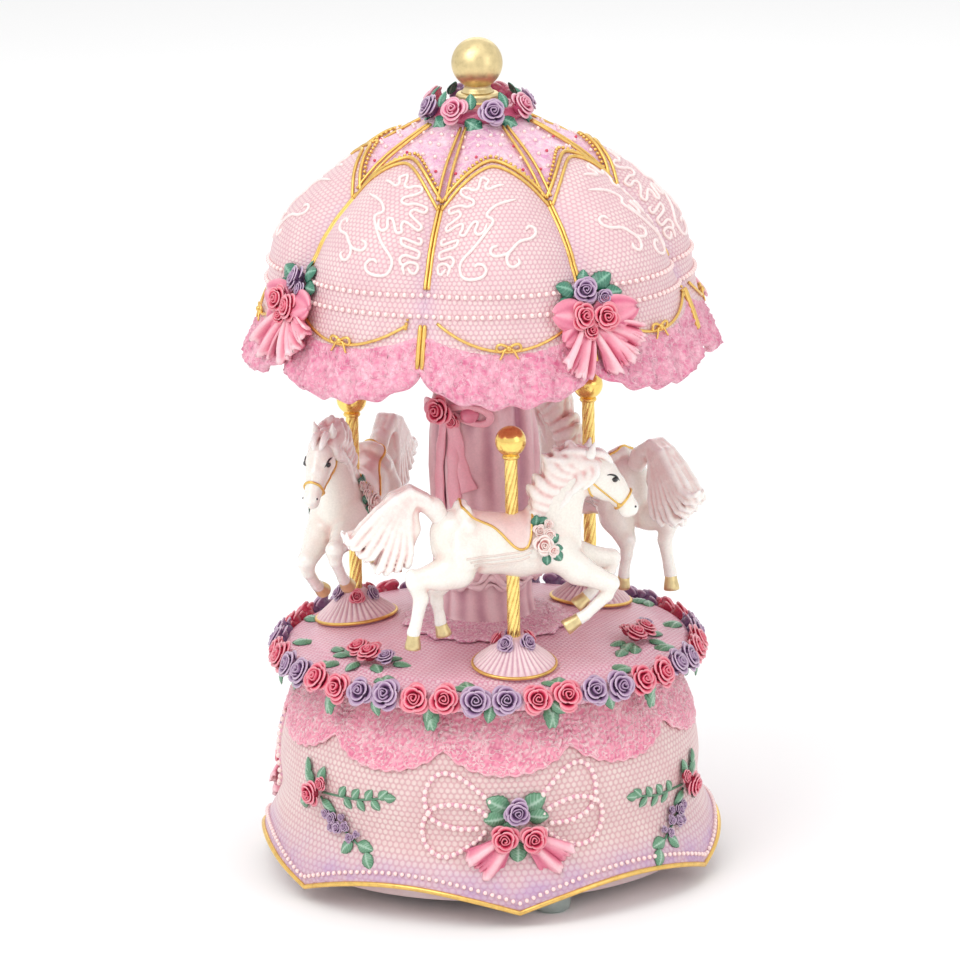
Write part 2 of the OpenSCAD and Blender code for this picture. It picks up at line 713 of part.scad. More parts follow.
// ---------- nodes ----------

base_shell();
bottom_cover();
cover_screws();
rubber_feet();
bedplate();
movement_screws();
comb();
comb_screws();
cylinder_bracket();
governor_bracket();
shaft_bush();
pearl_bows();
base_bouquets();
base_sprays();
spring_barrel();
mainspring();
output_shaft();
shaft_nut();
turntable();
rose_garland();
platform_sprigs();
column_ruffle();
column();
column_bow();
canopy();
canopy_ribs();
canopy_pearls();
canopy_swags();
canopy_bouquets();
crown_roses();
finial_collar();
finial();
winding_arbor();
winding_key();
music_cylinder();
cylinder_arbor();
cylinder_wheel();
governor_wheel();
governor_fan();
for (i = [1 : horses]) {
    pedestal(i);
    pole(i);
    pole_ball(i);
    horse(i);
}
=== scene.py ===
import math

import bmesh
import bpy
import numpy as np
from mathutils import Matrix, Vector


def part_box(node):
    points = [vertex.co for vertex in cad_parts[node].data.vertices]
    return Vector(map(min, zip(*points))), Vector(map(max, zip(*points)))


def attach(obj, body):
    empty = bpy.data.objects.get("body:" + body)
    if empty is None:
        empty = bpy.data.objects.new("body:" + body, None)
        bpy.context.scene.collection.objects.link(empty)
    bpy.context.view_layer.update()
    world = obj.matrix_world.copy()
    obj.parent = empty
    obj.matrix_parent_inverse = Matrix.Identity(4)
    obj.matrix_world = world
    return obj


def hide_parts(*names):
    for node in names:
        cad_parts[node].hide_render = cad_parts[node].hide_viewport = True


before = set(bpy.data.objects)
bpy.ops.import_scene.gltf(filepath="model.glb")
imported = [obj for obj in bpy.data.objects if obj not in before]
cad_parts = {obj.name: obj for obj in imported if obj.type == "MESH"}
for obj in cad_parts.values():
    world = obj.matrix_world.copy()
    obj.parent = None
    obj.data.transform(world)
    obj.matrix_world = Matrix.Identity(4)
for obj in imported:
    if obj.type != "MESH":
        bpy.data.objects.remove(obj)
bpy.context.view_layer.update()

# The look of the carousel music box, laid over its CAD frame. Everything is worked out in
# millimetres and written to Blender in metres. Angles run from the front (-Y) towards +X.
MM = 0.001


def span(node):
    """Lowest and highest corner of a CAD node, in millimetres."""
    low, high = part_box(node)
    return np.array(low) / MM, np.array(high) / MM


# ---------------------------------------------------------------- sizes from the frame

CORNER_Z = span("base_shell")[0][2]
DECK_Z = span("base_shell")[1][2]
TABLE_BOTTOM = span("turntable")[0][2]
TABLE_TOP = span("turntable")[1][2]
TABLE_R = span("turntable")[1][0]
TABLE_RIM_Z = TABLE_BOTTOM + 5.3
TABLE_FLAT_R = 12.0
POLE_CIRCLE_R = -(span("pole_1")[0][1] + span("pole_1")[1][1]) / 2
POLE_R = (span("pole_1")[1][0] - span("pole_1")[0][0]) / 2
BALL_Z = (span("pole_ball_1")[0][2] + span("pole_ball_1")[1][2]) / 2
BALL_R = (span("pole_ball_1")[1][0] - span("pole_ball_1")[0][0]) / 2
HEM_Z = span("canopy")[0][2]
HEM_R = span("canopy")[1][0]
CROWN_Z = span("canopy")[1][2]
COLUMN_TOP = 140.0
FINIAL_TOP = span("finial")[1][2]
FINIAL_R = (span("finial")[1][0] - span("finial")[0][0]) / 2
HORSES = 3
HORSE_STEP = 360 / HORSES
PANELS = 8
PANEL_STEP = 360 / PANELS
EACH_PANEL = np.arange(PANELS) * PANEL_STEP
EACH_BOW = (0, 120, 240)
CORNERS = 6
GARLAND_ROSES = 44
GARLAND_START = -10.1
GARLAND_R, GARLAND_Z = 48.9, 53.2
LACE_SCALLOPS = 10
LACE_TURN = -1.7
HORSE_Z = 87.4
HORSE_TURN = 4.0
BOW_TURN = -48.0
NET_PITCH = 1.5


# ---------------------------------------------------------------- mesh tools

class Shape:
    """A growing mesh in millimetres. Each vertex has a tint and a surf of flat u, flat v and zone."""

    def __init__(self):
        self.points, self.faces, self.tints, self.surfs, self.count = [], [], [], [], 0

    def add(self, patch, tint=0.5, surf=0.0):
        points = np.asarray(patch[0], float).reshape(-1, 3)
        self.faces += [np.asarray(block) + self.count for block in patch[1]]
        self.points.append(points)
        self.tints.append(np.resize(np.asarray(tint, float).reshape(-1), len(points)))
        self.surfs.append(np.resize(np.asarray(surf, float), (len(points), 3)))
        self.count += len(points)
        return self

    def ring(self, points, tint, surf=0.0):
        """Adds a grid of points that closes on itself both ways."""
        return self.add((points.reshape(-1, 3), [quads(*points.shape[:2], True, True)]), tint, surf)

    def joined(self):
        return np.concatenate(self.points), self.faces

    def tint(self):
        return np.concatenate(self.tints)

    def surf(self):
        return np.concatenate(self.surfs)

    def moved(self, *moves):
        """A new shape of one copy for each function, which turns its points into the copy's."""
        points, faces = self.joined()
        copies = Shape()
        for move in moves:
            copies.add((move(points), faces), self.tint(), self.surf())
        return copies

    def turned_copies(self, angles):
        """The same shape repeated at several angles about the axis."""
        return self.moved(*[lambda points, turn=turn_z(angle): points @ turn.T for angle in angles])


def shapes(*names):
    return {name: Shape() for name in names}


def turn_z(degrees):
    c, s = math.cos(math.radians(degrees)), math.sin(math.radians(degrees))
    return np.array([[c, -s, 0], [s, c, 0], [0, 0, 1]])


def turn_x(degrees):
    c, s = math.cos(math.radians(degrees)), math.sin(math.radians(degrees))
    return np.array([[1, 0, 0], [0, c, -s], [0, s, c]])


def all_round(count):
    """Evenly spaced angles round the axis, in degrees."""
    return np.arange(count) * 360 / count


def polar(r, degrees, z):
    """Points round the axis: the angle runs from the front (-Y) towards +X."""
    a = np.radians(degrees)
    r, a, z = np.broadcast_arrays(np.asarray(r, float), a, np.asarray(z, float))
    return np.stack([r * np.sin(a), -r * np.cos(a), z], -1)


def unit(v):
    return v / np.maximum(np.linalg.norm(v, axis=-1, keepdims=True), 1e-12)


def frame_at(normal, up):
    """A matrix whose columns are right, up along the surface, and the outward normal."""
    n = unit(np.asarray(normal, float))
    right = np.cross(np.asarray(up, float), n)
    if np.linalg.norm(right) < 1e-6:
        right = np.array([1.0, 0, 0])
    right = unit(right)
    return np.stack([right, np.cross(n, right), n], 1)


def quads(nu, nv, wrap_u, wrap_v=False):
    """Faces between the points of an nu by nv grid."""
    iu = np.arange(nu if wrap_u else nu - 1)
    iv = np.arange(nv if wrap_v else nv - 1)
    u, v = np.meshgrid(iu, iv, indexing="ij")
    u2, v2 = (u + 1) % nu, (v + 1) % nv
    return np.stack([u * nv + v, u2 * nv + v, u2 * nv + v2, u * nv + v2], -1).reshape(-1, 4)


def normals(points, wrap_u):
    """The unit normal at each point of a grid."""
    if wrap_u:
        du = np.roll(points, -1, 0) - np.roll(points, 1, 0)
    else:
        du = np.gradient(points, axis=0)
    return unit(np.cross(du, np.gradient(points, axis=1)))


def slab(points, thick, wrap_u=False, rim=0.5):
    """A closed solid of the given thickness round a grid of points. Its edges thin to rim times that."""
    nu, nv = points.shape[:2]
    n = normals(points, wrap_u)
    half = np.full((nu, nv), 1.0) * np.asarray(thick) / 2
    half[:, [0, -1]] *= rim
    if not wrap_u:
        half[[0, -1], :] *= rim
    top = points + n * half[..., None]
    bottom = points - n * half[..., None]
    count = nu * nv
    faces = [quads(nu, nv, wrap_u), quads(nu, nv, wrap_u)[:, ::-1] + count]
    index = np.arange(count).reshape(nu, nv)
    if wrap_u:
        loops = [index[:, 0][::-1], index[:, -1]]
    else:
        loops = [np.concatenate([index[:, 0], index[-1, 1:], index[-2::-1, -1], index[0, -2:0:-1]])]
    for a in loops:
        b = np.roll(a, -1)
        faces.append(np.stack([a, b, b + count, a + count], -1)[:, ::-1])
    return np.concatenate([top.reshape(-1, 3), bottom.reshape(-1, 3)]), faces


def two_sided(tint):
    """Tints of a grid's points for both sides of its slab."""
    return np.tile(np.clip(tint, 0, 1).reshape(-1), 2)


def tube(path, radius, sides, closed=False, flat=1.0, up=None):
    """A round or flattened bar swept along a path. up keeps the flat side facing that way."""
    path = np.asarray(path, float)
    n = len(path)
    radius = np.broadcast_to(np.asarray(radius, float), (n,))
    if closed:
        tangent = unit(np.roll(path, -1, 0) - np.roll(path, 1, 0))
    else:
        tangent = unit(np.gradient(path, axis=0))
    side = np.zeros((n, 3))
    if up is None:
        side[0] = unit(np.cross(tangent[0], [0.31, 0.17, 0.93]))
        for i in range(1, n):
            side[i] = unit(side[i - 1] - tangent[i] * np.dot(side[i - 1], tangent[i]))
        if closed:
            gap = unit(side[-1] - tangent[0] * np.dot(side[-1], tangent[0]))
            twist = math.atan2(np.dot(np.cross(gap, side[0]), tangent[0]), np.dot(gap, side[0]))
            other = np.cross(tangent, side)
            a = twist * np.arange(n)[:, None] / n
            side = side * np.cos(a) + other * np.sin(a)
    else:
        side = unit(np.cross(tangent, np.broadcast_to(np.asarray(up, float), (n, 3))))
    other = np.cross(side, tangent)
    a = np.arange(sides) * 2 * math.pi / sides
    ring = (side[:, None] * np.cos(a)[None, :, None] + other[:, None] * flat * np.sin(a)[None, :, None])
    points = path[:, None] + ring * radius[:, None, None]
    faces = [quads(n, sides, closed, True)[:, ::-1]]
    if not closed:
        faces += [np.arange(sides)[None], (np.arange(sides) + (n - 1) * sides)[None, ::-1]]
    return points.reshape(-1, 3), faces


def turned(profile, sides):
    """A lathe shape about the axis. The profile is a closed outline of (radius, height)."""
    profile = np.asarray(profile, float)
    points = polar(profile[None, :, 0], all_round(sides)[:, None], profile[None, :, 1])
    return points.reshape(-1, 3), [quads(sides, len(profile), True, True)]


def bead(centre, r, rings=5, sides=8, squash=1.0):
    a = np.linspace(0, math.pi, rings + 2)[1:-1]
    b = np.arange(sides) * 2 * math.pi / sides
    x = np.sin(a)[:, None] * np.cos(b)
    y = np.sin(a)[:, None] * np.sin(b)
    z = np.broadcast_to(np.cos(a)[:, None], x.shape) * squash
    body = np.stack([x, y, z], -1).reshape(-1, 3)
    points = np.concatenate([body, [[0, 0, squash], [0, 0, -squash]]]) * r + np.asarray(centre)
    faces = quads(rings, sides, False, True)[:, ::-1]
    top = np.stack([np.full(sides, rings * sides), np.arange(sides), (np.arange(sides) + 1) % sides], -1)
    last = (rings - 1) * sides
    low = np.stack([np.full(sides, rings * sides + 1), last + (np.arange(sides) + 1) % sides,
                    last + np.arange(sides)], -1)
    return points, [faces, top, low]


def smooth_line(points, count):
    """A Catmull-Rom curve through the points."""
    p = np.asarray(points, float)
    p = np.concatenate([2 * p[:1] - p[1:2], p, 2 * p[-1:] - p[-2:-1]])
    spans = len(p) - 3
    t = np.linspace(0, spans, count)
    i = np.minimum(t.astype(int), spans - 1)
    f = (t - i)[:, None]
    a, b, c, d = p[i], p[i + 1], p[i + 2], p[i + 3]
    return 0.5 * (2 * b + (c - a) * f + (2 * a - 5 * b + 4 * c - d) * f ** 2
                  + (3 * b - 3 * c + d - a) * f ** 3)


def spaced(path, pitch, closed):
    """Points every pitch along a path, fitted to a whole number."""
    path = np.asarray(path, float)
    if closed:
        path = np.concatenate([path, path[:1]])
    step = np.linalg.norm(np.diff(path, axis=0), axis=1)
    length = np.concatenate([[0], np.cumsum(step)])
    count = max(2, int(round(length[-1] / pitch)))
    at = np.linspace(0, length[-1], count + 1)[: count if closed else None]
    return np.stack([np.interp(at, length, path[:, k]) for k in range(3)], -1)


def ease(x, low, high):
    t = np.clip((np.asarray(x, float) - low) / (high - low), 0, 1)
    return t * t * (3 - 2 * t)


def unrolled(points, block, surf):
    """Flat coordinates at each face corner, carried on across the line where a ring of quads starts again."""
    if block.shape[1] == 4:
        torn = np.abs(surf[:, 0, 0] - surf[:, 1, 0]) > 3
        for a, b in ((0, 1), (3, 2)):
            width = np.linalg.norm(points[block[torn, b]] - points[block[torn, a]], axis=1)
            surf[torn, b, 0] = surf[torn, a, 0] + width
    return surf.reshape(-1, 3)


def make(name, shape, finish, body, slot, *nodes):
    """Writes a Shape to Blender as one piece that rides on a body and stands for CAD nodes."""
    points, faces = shape.joined()
    corners = np.concatenate([block.reshape(-1) for block in faces])
    sides = np.concatenate([np.full(len(block), block.shape[1]) for block in faces])
    mesh = bpy.data.meshes.new(name)
    mesh.vertices.add(len(points))
    mesh.vertices.foreach_set("co", (points * MM).astype(np.float32).ravel())
    mesh.loops.add(len(corners))
    mesh.loops.foreach_set("vertex_index", corners.astype(np.int32))
    mesh.polygons.add(len(sides))
    mesh.polygons.foreach_set("loop_start", (np.cumsum(sides) - sides).astype(np.int32))
    mesh.attributes.new("tint", "FLOAT", "POINT").data.foreach_set("value", shape.tint().astype(np.float32))
    flat = [unrolled(points, block, shape.surf()[block]) for block in faces]
    mesh.attributes.new("surf", "FLOAT_VECTOR", "CORNER").data.foreach_set(
        "vector", np.concatenate(flat).astype(np.float32).ravel())
    mesh.update(calc_edges=True)
    work = bmesh.new()
    work.from_mesh(mesh)
    bmesh.ops.remove_doubles(work, verts=work.verts, dist=2e-7)
    bmesh.ops.recalc_face_normals(work, faces=work.faces)
    work.to_mesh(mesh)
    work.free()
    mesh.polygons.foreach_set("use_smooth", [True] * len(mesh.polygons))
    mesh.materials.append(FINISH[finish])
    piece = bpy.data.objects.new(name, mesh)
    bpy.context.scene.collection.objects.link(piece)
    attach(piece, body)
    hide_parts(*nodes)
    return piece


# ---------------------------------------------------------------- materials

class Paint:
    """A procedural material. Its helpers return sockets."""

    def __init__(self, name):
        self.material = bpy.data.materials.new(name)
        self.material.use_nodes = True
        self.tree = self.material.node_tree
        self.shader = self.tree.nodes["Principled BSDF"]

    def node(self, kind, inputs=(), **settings):
        made = self.tree.nodes.new("ShaderNode" + kind)
        for key, value in settings.items():
            setattr(made, key, value)
        for key, value in dict(inputs).items():
            self.feed(made.inputs[key], value)
        return made

    def feed(self, socket, value):
        if isinstance(value, bpy.types.NodeSocket):
            self.tree.links.new(value, socket)
        else:
            socket.default_value = value

    def set(self, **values):
        names = {"colour": "Base Color", "rough": "Roughness", "metal": "Metallic", "coat": "Coat Weight",
                 "coat_rough": "Coat Roughness", "normal": "Normal", "soft": "Subsurface Weight",
                 "soft_scale": "Subsurface Scale", "ior": "IOR", "glass": "Transmission Weight"}
        for key, value in values.items():
            self.feed(self.shader.inputs[names[key]], value)
        return self

    def coords(self):
        return self.node("TexCoord").outputs["Object"]

    def attribute(self, name, output="Fac"):
        return self.node("Attribute", attribute_name=name).outputs[output]

    def maths(self, operation, a, b=0.0):
        return self.node("Math", {0: a, 1: b}, operation=operation).outputs[0]

    def centred(self, value, reach):
        """A 0 to 1 value as -reach / 2 to reach / 2."""
        return self.maths("MULTIPLY", self.maths("SUBTRACT", value, 0.5), reach)

    def noise(self, size_mm, detail, rough=0.55):
        return self.node("TexNoise", {"Vector": self.coords(), "Scale": 1 / (size_mm * MM), "Detail": detail,
                                      "Roughness": rough}).outputs["Fac"]

    def ramp(self, value, stops):
        made = self.node("ValToRGB", {"Fac": value})
        ramp = made.color_ramp
        while len(ramp.elements) < len(stops):
            ramp.elements.new(0.5)
        for element, (at, colour) in zip(ramp.elements, stops):
            element.position = at
            element.color = (*colour, 1)
        return made.outputs["Color"]

    def grey(self, value, low, high, a=0.0, b=1.0):
        return self.node("MapRange", {"Value": value, "From Min": low, "From Max": high, "To Min": a, "To Max": b},
                         interpolation_type="SMOOTHSTEP").outputs["Result"]

    def mix(self, factor, a, b, blend="MIX"):
        made = self.node("Mix", data_type="RGBA", blend_type=blend)
        self.feed(made.inputs[0], factor)
        self.feed(made.inputs[6], (*a, 1) if isinstance(a, tuple) else a)
        self.feed(made.inputs[7], (*b, 1) if isinstance(b, tuple) else b)
        return made.outputs[2]

    def bump(self, height, depth_mm, strength):
        inputs = {"Height": height, "Distance": depth_mm * MM, "Strength": strength}
        return self.node("Bump", inputs).outputs["Normal"]

    def veins(self, size_mm):
        """Thin wandering lines, like the threads of lace: 1 on a line, 0 between."""
        off = self.maths("ABSOLUTE", self.maths("SUBTRACT", self.noise(size_mm, 1.5, 0.5), 0.5))
        return self.grey(off, 0.045, 0.012)

    def net(self, coords, pitch):
        """Raised cells of a hexagonal net over flat coordinates in millimetres: 1 on a cell, 0 between."""
        tall = math.sqrt(3)
        cell = self.node("VectorMath", {0: coords, 1: (1 / pitch, 1 / (pitch * tall), 0)},
                         operation="MULTIPLY").outputs[0]

        def reach(shift):
            moved = self.node("VectorMath", {0: cell, 1: (shift, shift, 0)}, operation="ADD").outputs[0]
            part = self.node("VectorMath", {0: moved}, operation="FRACTION").outputs[0]
            middle = self.node("VectorMath", {0: part, 1: (0.5, 0.5, 0)}, operation="SUBTRACT").outputs[0]
            scaled = self.node("VectorMath", {0: middle, 1: (1, tall, 0)}, operation="MULTIPLY").outputs[0]
            return self.node("VectorMath", {0: scaled}, operation="LENGTH").outputs["Value"]

        nearest = self.maths("MINIMUM", reach(0.0), reach(0.5))
        return self.grey(nearest, 0.54, 0.24)


def linear(*colours):
    """8-bit display colours as linear light."""
    c = np.array(colours) / 255
    return [tuple(map(float, row)) for row in np.where(c <= 0.04045, c / 12.92, ((c + 0.055) / 1.055) ** 2.4)]


def glazed(name, painted_shade, main, light, rough=0.36, coat=0.35, mottle=0.16, grain_mm=0.5, depth_mm=0.03, soft=0.0,
           saddle=None, veins=0.0):
    """Painted cast resin: the tint attribute runs from painted shade in its creases to a painted highlight on its
    edges.
    saddle is the painted shade and the colour of the saddle's zone; veins is the size of lace threads in
    millimetres, and the threads get the painted highlight colour."""
    painted_shade, main, light = linear(painted_shade, main, light)
    p = Paint(name)
    tint = p.attribute("tint")
    blotch = p.noise(3.5, 4)
    speck = p.noise(grain_mm, 5, 0.65)
    where = p.maths("ADD", tint, p.centred(blotch, mottle * 2))
    colour = p.ramp(where, [(0.0, painted_shade), (0.5, main), (1.0, light)])
    if saddle:
        saddle_painted_shade, saddle_main = linear(*saddle)
        zone = p.node("SeparateXYZ", {0: p.attribute("surf", "Vector")}).outputs[2]
        colour = p.mix(p.grey(zone, 0.3, 0.7), colour,
                       p.ramp(where, [(0.0, saddle_painted_shade), (0.5, saddle_main), (1.0, light)]))
    worn = p.grey(speck, 0.3, 0.75, 0.94, 1.05)
    colour = p.mix(1.0, colour, p.node("CombineColor", {0: worn, 1: worn, 2: worn}).outputs[0], "MULTIPLY")
    p.set(colour=colour, rough=p.grey(blotch, 0.25, 0.75, rough * 0.8, rough * 1.25), coat=coat, coat_rough=0.2)
    if veins:
        line = p.veins(veins)
        colour = p.mix(p.maths("MULTIPLY", line, 0.75), colour, light)
        p.set(colour=colour)
        speck = p.maths("ADD", speck, p.maths("MULTIPLY", line, 1.5))
    p.set(normal=p.bump(speck, depth_mm, 0.7))
    if soft:
        p.set(soft=soft, soft_scale=1.5 * MM)
        p.shader.inputs["Subsurface Radius"].default_value = (1.0, 0.55, 0.45)
    return p.material


def gilt(name, main, dark, rough=0.26):
    """Gold paint with painted shade in its creases, a painted highlight where the tint is high, a brushed grain and
    rubbed spots.
    """
    p = Paint(name)
    tint = p.attribute("tint")
    patch = p.noise(1.6, 4)
    fine = p.noise(0.22, 4, 0.7)
    where = p.maths("ADD", tint, p.centred(patch, 0.9))
    p.set(colour=p.ramp(where, [(0.0, dark), (0.55, main), (1.0, tuple(min(1, c * 1.25) for c in main))]))
    p.set(metal=0.96, rough=p.grey(fine, 0.3, 0.7, rough, rough + 0.18), normal=p.bump(fine, 0.02, 0.6))
    return p.material


def pearl(name, main, shade):
    """Lustrous beads with painted shade towards their outlines."""
    main, shade = linear(main, shade)
    p = Paint(name)
    cloud = p.noise(0.8, 3)
    edge = p.node("LayerWeight", {"Blend": 0.35}).outputs["Facing"]
    colour = p.mix(p.grey(edge, 0.2, 0.95, 0.0, 0.8), main, shade)
    p.set(colour=colour, rough=p.grey(cloud, 0.3, 0.7, 0.22, 0.34), coat=0.7, coat_rough=0.12)
    p.set(normal=p.bump(cloud, 0.015, 0.4))
    return p.material


def metal(name, colour, rough, grain_mm=0.3):
    """Machined or cast metal with a fine grain and duller patches."""
    p = Paint(name)
    fine = p.noise(grain_mm, 5, 0.7)
    patch = p.noise(4, 3)
    dull = tuple(c * 0.85 for c in colour)
    p.set(colour=p.mix(p.grey(patch, 0.35, 0.7), colour, dull), metal=1.0)
    p.set(rough=p.grey(fine, 0.3, 0.7, rough, rough + 0.15), normal=p.bump(fine, 0.012, 0.5))
    return p.material


def netted(name, ground, cells, lilac, zones=(), pitch=NET_PITCH, planar=False):
    """Painted net relief. surf holds flat coordinates and a zone; zones lists (zone value, painted shade, painted
    highlight).
    A planar net lies flat in x and y instead of following surf."""
    ground, cells, lilac = linear(ground, cells, lilac)
    p = Paint(name)
    if planar:
        flat = p.node("VectorMath", {0: p.coords(), 1: (1000, 1000, 0)}, operation="MULTIPLY").outputs[0]
    else:
        flat = p.attribute("surf", "Vector")
    zone = p.node("SeparateXYZ", {0: p.attribute("surf", "Vector")}).outputs[2]
    tint = p.attribute("tint")
    cell = p.net(flat, pitch)
    blotch = p.noise(6, 4)
    fine = p.noise(0.35, 5, 0.65)
    colour = p.mix(p.maths("MULTIPLY", cell, p.grey(blotch, 0.2, 0.8, 0.55, 1.0)), ground, cells)
    colour = p.mix(p.maths("MULTIPLY", tint, p.grey(blotch, 0.3, 0.8, 0.35, 0.95)), colour, lilac)
    height = p.maths("ADD", cell, p.maths("MULTIPLY", fine, 0.35))
    for value, *colours in zones:
        painted_shade, light = linear(*colours)
        inside = p.grey(p.maths("ABSOLUTE", p.maths("SUBTRACT", zone, value)), 0.62, 0.38)
        crumple = p.noise(1.3, 5, 0.6)
        # Crumple noise paints the shade and highlight of crinkled lace, and its thread lines get the painted
        # highlight.
        painted = p.ramp(p.maths("ADD", crumple, p.centred(blotch, 0.5)),
                         [(0.3, painted_shade), (0.52, tuple((a + b) / 2 for a, b in zip(painted_shade, light))), (0.72, light)])
        line = p.veins(1.5)
        painted = p.mix(p.maths("MULTIPLY", line, 0.7), painted, light)
        colour = p.mix(inside, colour, painted)
        height = p.mix(inside, height, p.maths("ADD", crumple, line))
    p.set(colour=colour, rough=p.grey(fine, 0.3, 0.7, 0.357, 0.504), coat=0.2, coat_rough=0.25)
    p.set(normal=p.bump(height, 0.16, 0.75))
    return p.material


def clear_rubber():
    """Milky, slightly green rubber that lets light through."""
    p = Paint("clear_rubber")
    cloud = p.noise(1.2, 4)
    p.set(colour=p.mix(cloud, *linear((196, 214, 208), (226, 238, 233))), rough=p.grey(cloud, 0.3, 0.7, 0.3, 0.5))
    p.set(glass=0.55, ior=1.42, normal=p.bump(cloud, 0.02, 0.4))
    return p.material


GOLD = (0.82, 0.54, 0.16)
GOLD_DARK = (0.38, 0.19, 0.04)

# Glazed finishes list the painted shade of creases, the main colour, then the painted highlight of edges; netted
# zones list painted shade and painted highlight.
FINISH = {
    "canopy": netted("canopy_net", (218, 170, 180), (236, 214, 211), (204, 172, 204),
                     [(1.0, (216, 148, 188), (244, 214, 222)), (-1.0, (218, 108, 148), (244, 190, 204))],
                     pitch=1.3),
    "base": netted("base_net", (212, 166, 170), (232, 212, 206), (184, 146, 190)),
    "platform": netted("platform_net", (224, 150, 172), (244, 212, 218), (196, 150, 194), planar=True,
                       pitch=1.25),
    "lace": glazed("lace_pink", (206, 78, 128), (240, 148, 172), (248, 214, 216), mottle=0.34, grain_mm=0.7,
                   depth_mm=0.12, veins=1.5),
    "ruffle": glazed("ruffle_pink", (206, 116, 156), (234, 172, 194), (250, 228, 230), mottle=0.34, grain_mm=0.7,
                     depth_mm=0.12, veins=1.3),
    "piping": glazed("piping_white", (232, 176, 188), (246, 222, 220), (250, 238, 234), rough=0.3),
    "red": glazed("rose_red", (150, 16, 50), (218, 62, 96), (248, 168, 180), rough=0.28, coat=0.5),
    "pink": glazed("rose_pink", (192, 64, 108), (220, 122, 152), (244, 194, 206), rough=0.28, coat=0.5),
    "lilac": glazed("rose_lilac", (84, 50, 96), (146, 108, 150), (214, 188, 212), rough=0.28, coat=0.5),
    "leaf": glazed("leaf_green", (36, 84, 60), (96, 148, 114), (186, 214, 194), rough=0.3, coat=0.45),
    "teal": glazed("leaf_teal", (18, 68, 56), (54, 126, 100), (156, 206, 182), rough=0.28, coat=0.5),
    "ribbon": glazed("ribbon_pink", (204, 80, 120), (234, 142, 164), (248, 204, 210), rough=0.34),
    "column": glazed("column_mauve", (178, 112, 134), (228, 184, 191), (245, 221, 224), rough=0.36),
    "pedestal": glazed("pedestal_mauve", (172, 104, 138), (226, 186, 196), (244, 222, 222), rough=0.36),
    "horse": glazed("horse_glaze", (226, 180, 170), (244, 238, 228), (247, 244, 238), rough=0.2, coat=0.7,
                    mottle=0.10, depth_mm=0.012, soft=0.12, saddle=((206, 138, 138), (238, 204, 198))),
    "mane": glazed("mane_glaze", (230, 182, 178), (246, 236, 229), (250, 246, 242), rough=0.24, coat=0.6,
                   mottle=0.2, depth_mm=0.015, soft=0.1),
    "eye": glazed("eye_black", (12, 10, 12), (22, 18, 22), (70, 60, 70), rough=0.15, coat=0.8, mottle=0.05),
    "gold": gilt("gold_paint", GOLD, GOLD_DARK),
    "pole_gold": gilt("pole_gold", (0.98, 0.70, 0.24), (0.56, 0.30, 0.05), rough=0.18),
    "old_gold": gilt("old_gold", (0.74, 0.60, 0.32), (0.34, 0.24, 0.10), rough=0.3),
    "bright_gold": gilt("bright_gold", (0.98, 0.68, 0.20), (0.74, 0.44, 0.09), rough=0.1),
    "blush": glazed("blush", (236, 160, 160), (252, 224, 216), (255, 246, 240), rough=0.24, coat=0.6),
    "steel": metal("steel", (0.62, 0.62, 0.64), 0.28),
    "zinc": metal("zinc", (0.50, 0.51, 0.54), 0.42, 0.5),
    "brass": metal("brass", (0.80, 0.58, 0.24), 0.26),
    "plastic": glazed("dark_plastic", (30, 28, 30), (44, 41, 43), (70, 66, 68), rough=0.5, coat=0.0, mottle=0.1),
    "nylon": glazed("white_nylon", (206, 200, 190), (224, 220, 210), (240, 238, 232), rough=0.45, coat=0.0),
    "rubber": clear_rubber(),
    "pearl": pearl("pearl_pink", (250, 224, 220), (212, 128, 146)),
}


# ---------------------------------------------------------------- flowers, leaves and ribbons

def petal(angle, reach, height, width):
    """One petal of a rose and its tints: painted shade at its foot and a painted highlight on its lip. It curls out
    at its edge.
    """
    u, v = np.meshgrid(np.linspace(-1, 1, 9), np.linspace(0, 1, 7), indexing="ij")
    v2 = v * (1 - 0.13 * u ** 2)
    open_out = 0.45 + 0.55 * np.sin(np.minimum(1, v * 1.3) * math.pi / 2)
    a = math.radians(angle) + u * math.radians(width) * open_out
    r = reach * (0.25 + 0.68 * v2 ** 0.6) + reach * 0.9 * np.maximum(0, v2 - 0.78) - 0.12 * reach * u ** 2 * v
    z = height * v2 ** 1.25 - 1.1 * np.maximum(0, v2 - 0.84)
    solid = slab(np.stack([r * np.cos(a), r * np.sin(a), z], -1), 0.11, rim=0.7)
    return solid, two_sided(0.10 + 0.12 * v + 0.75 * v ** 6)


def rose(seed):
    """A small cast rose of radius 1 that faces +Z."""
    rng = np.random.default_rng(seed)
    shape = Shape()
    t, v = np.meshgrid(np.linspace(0, 1, 34), np.linspace(0, 1, 4), indexing="ij")
    a = t * 1.8 * 2 * math.pi + rng.uniform(0, 6)
    r = (0.08 + 0.30 * t) * (1.0 + 0.12 * v ** 2) * (1 + 0.10 * np.sin(a * 3))
    z = 0.12 + (0.98 - 0.14 * t) * v
    # The spiral's tint is painted shade low in the bud and a painted highlight at its top edge.
    shape.add(slab(np.stack([r * np.cos(a), r * np.sin(a), z], -1), 0.10, rim=0.7), two_sided(0.7 * v ** 4))
    start = rng.uniform(0, 360)
    for k in range(3):
        shape.add(*petal(start + 120 * k + rng.uniform(-12, 12), 0.66, 1.08, 68))
    for k in range(4):
        shape.add(*petal(start + 30 + 90 * k + rng.uniform(-10, 10), rng.uniform(0.86, 0.94),
                         rng.uniform(0.84, 0.96), 54))
    for k in range(3):
        shape.add(*petal(start + 80 + 120 * k + rng.uniform(-12, 12), rng.uniform(1.0, 1.08),
                         rng.uniform(0.5, 0.66), 46))
    # The heart's low tint is painted shade in the middle of the rose.
    shape.add(bead((0, 0, 0.2), 0.68, squash=0.7), 0.1)
    return shape


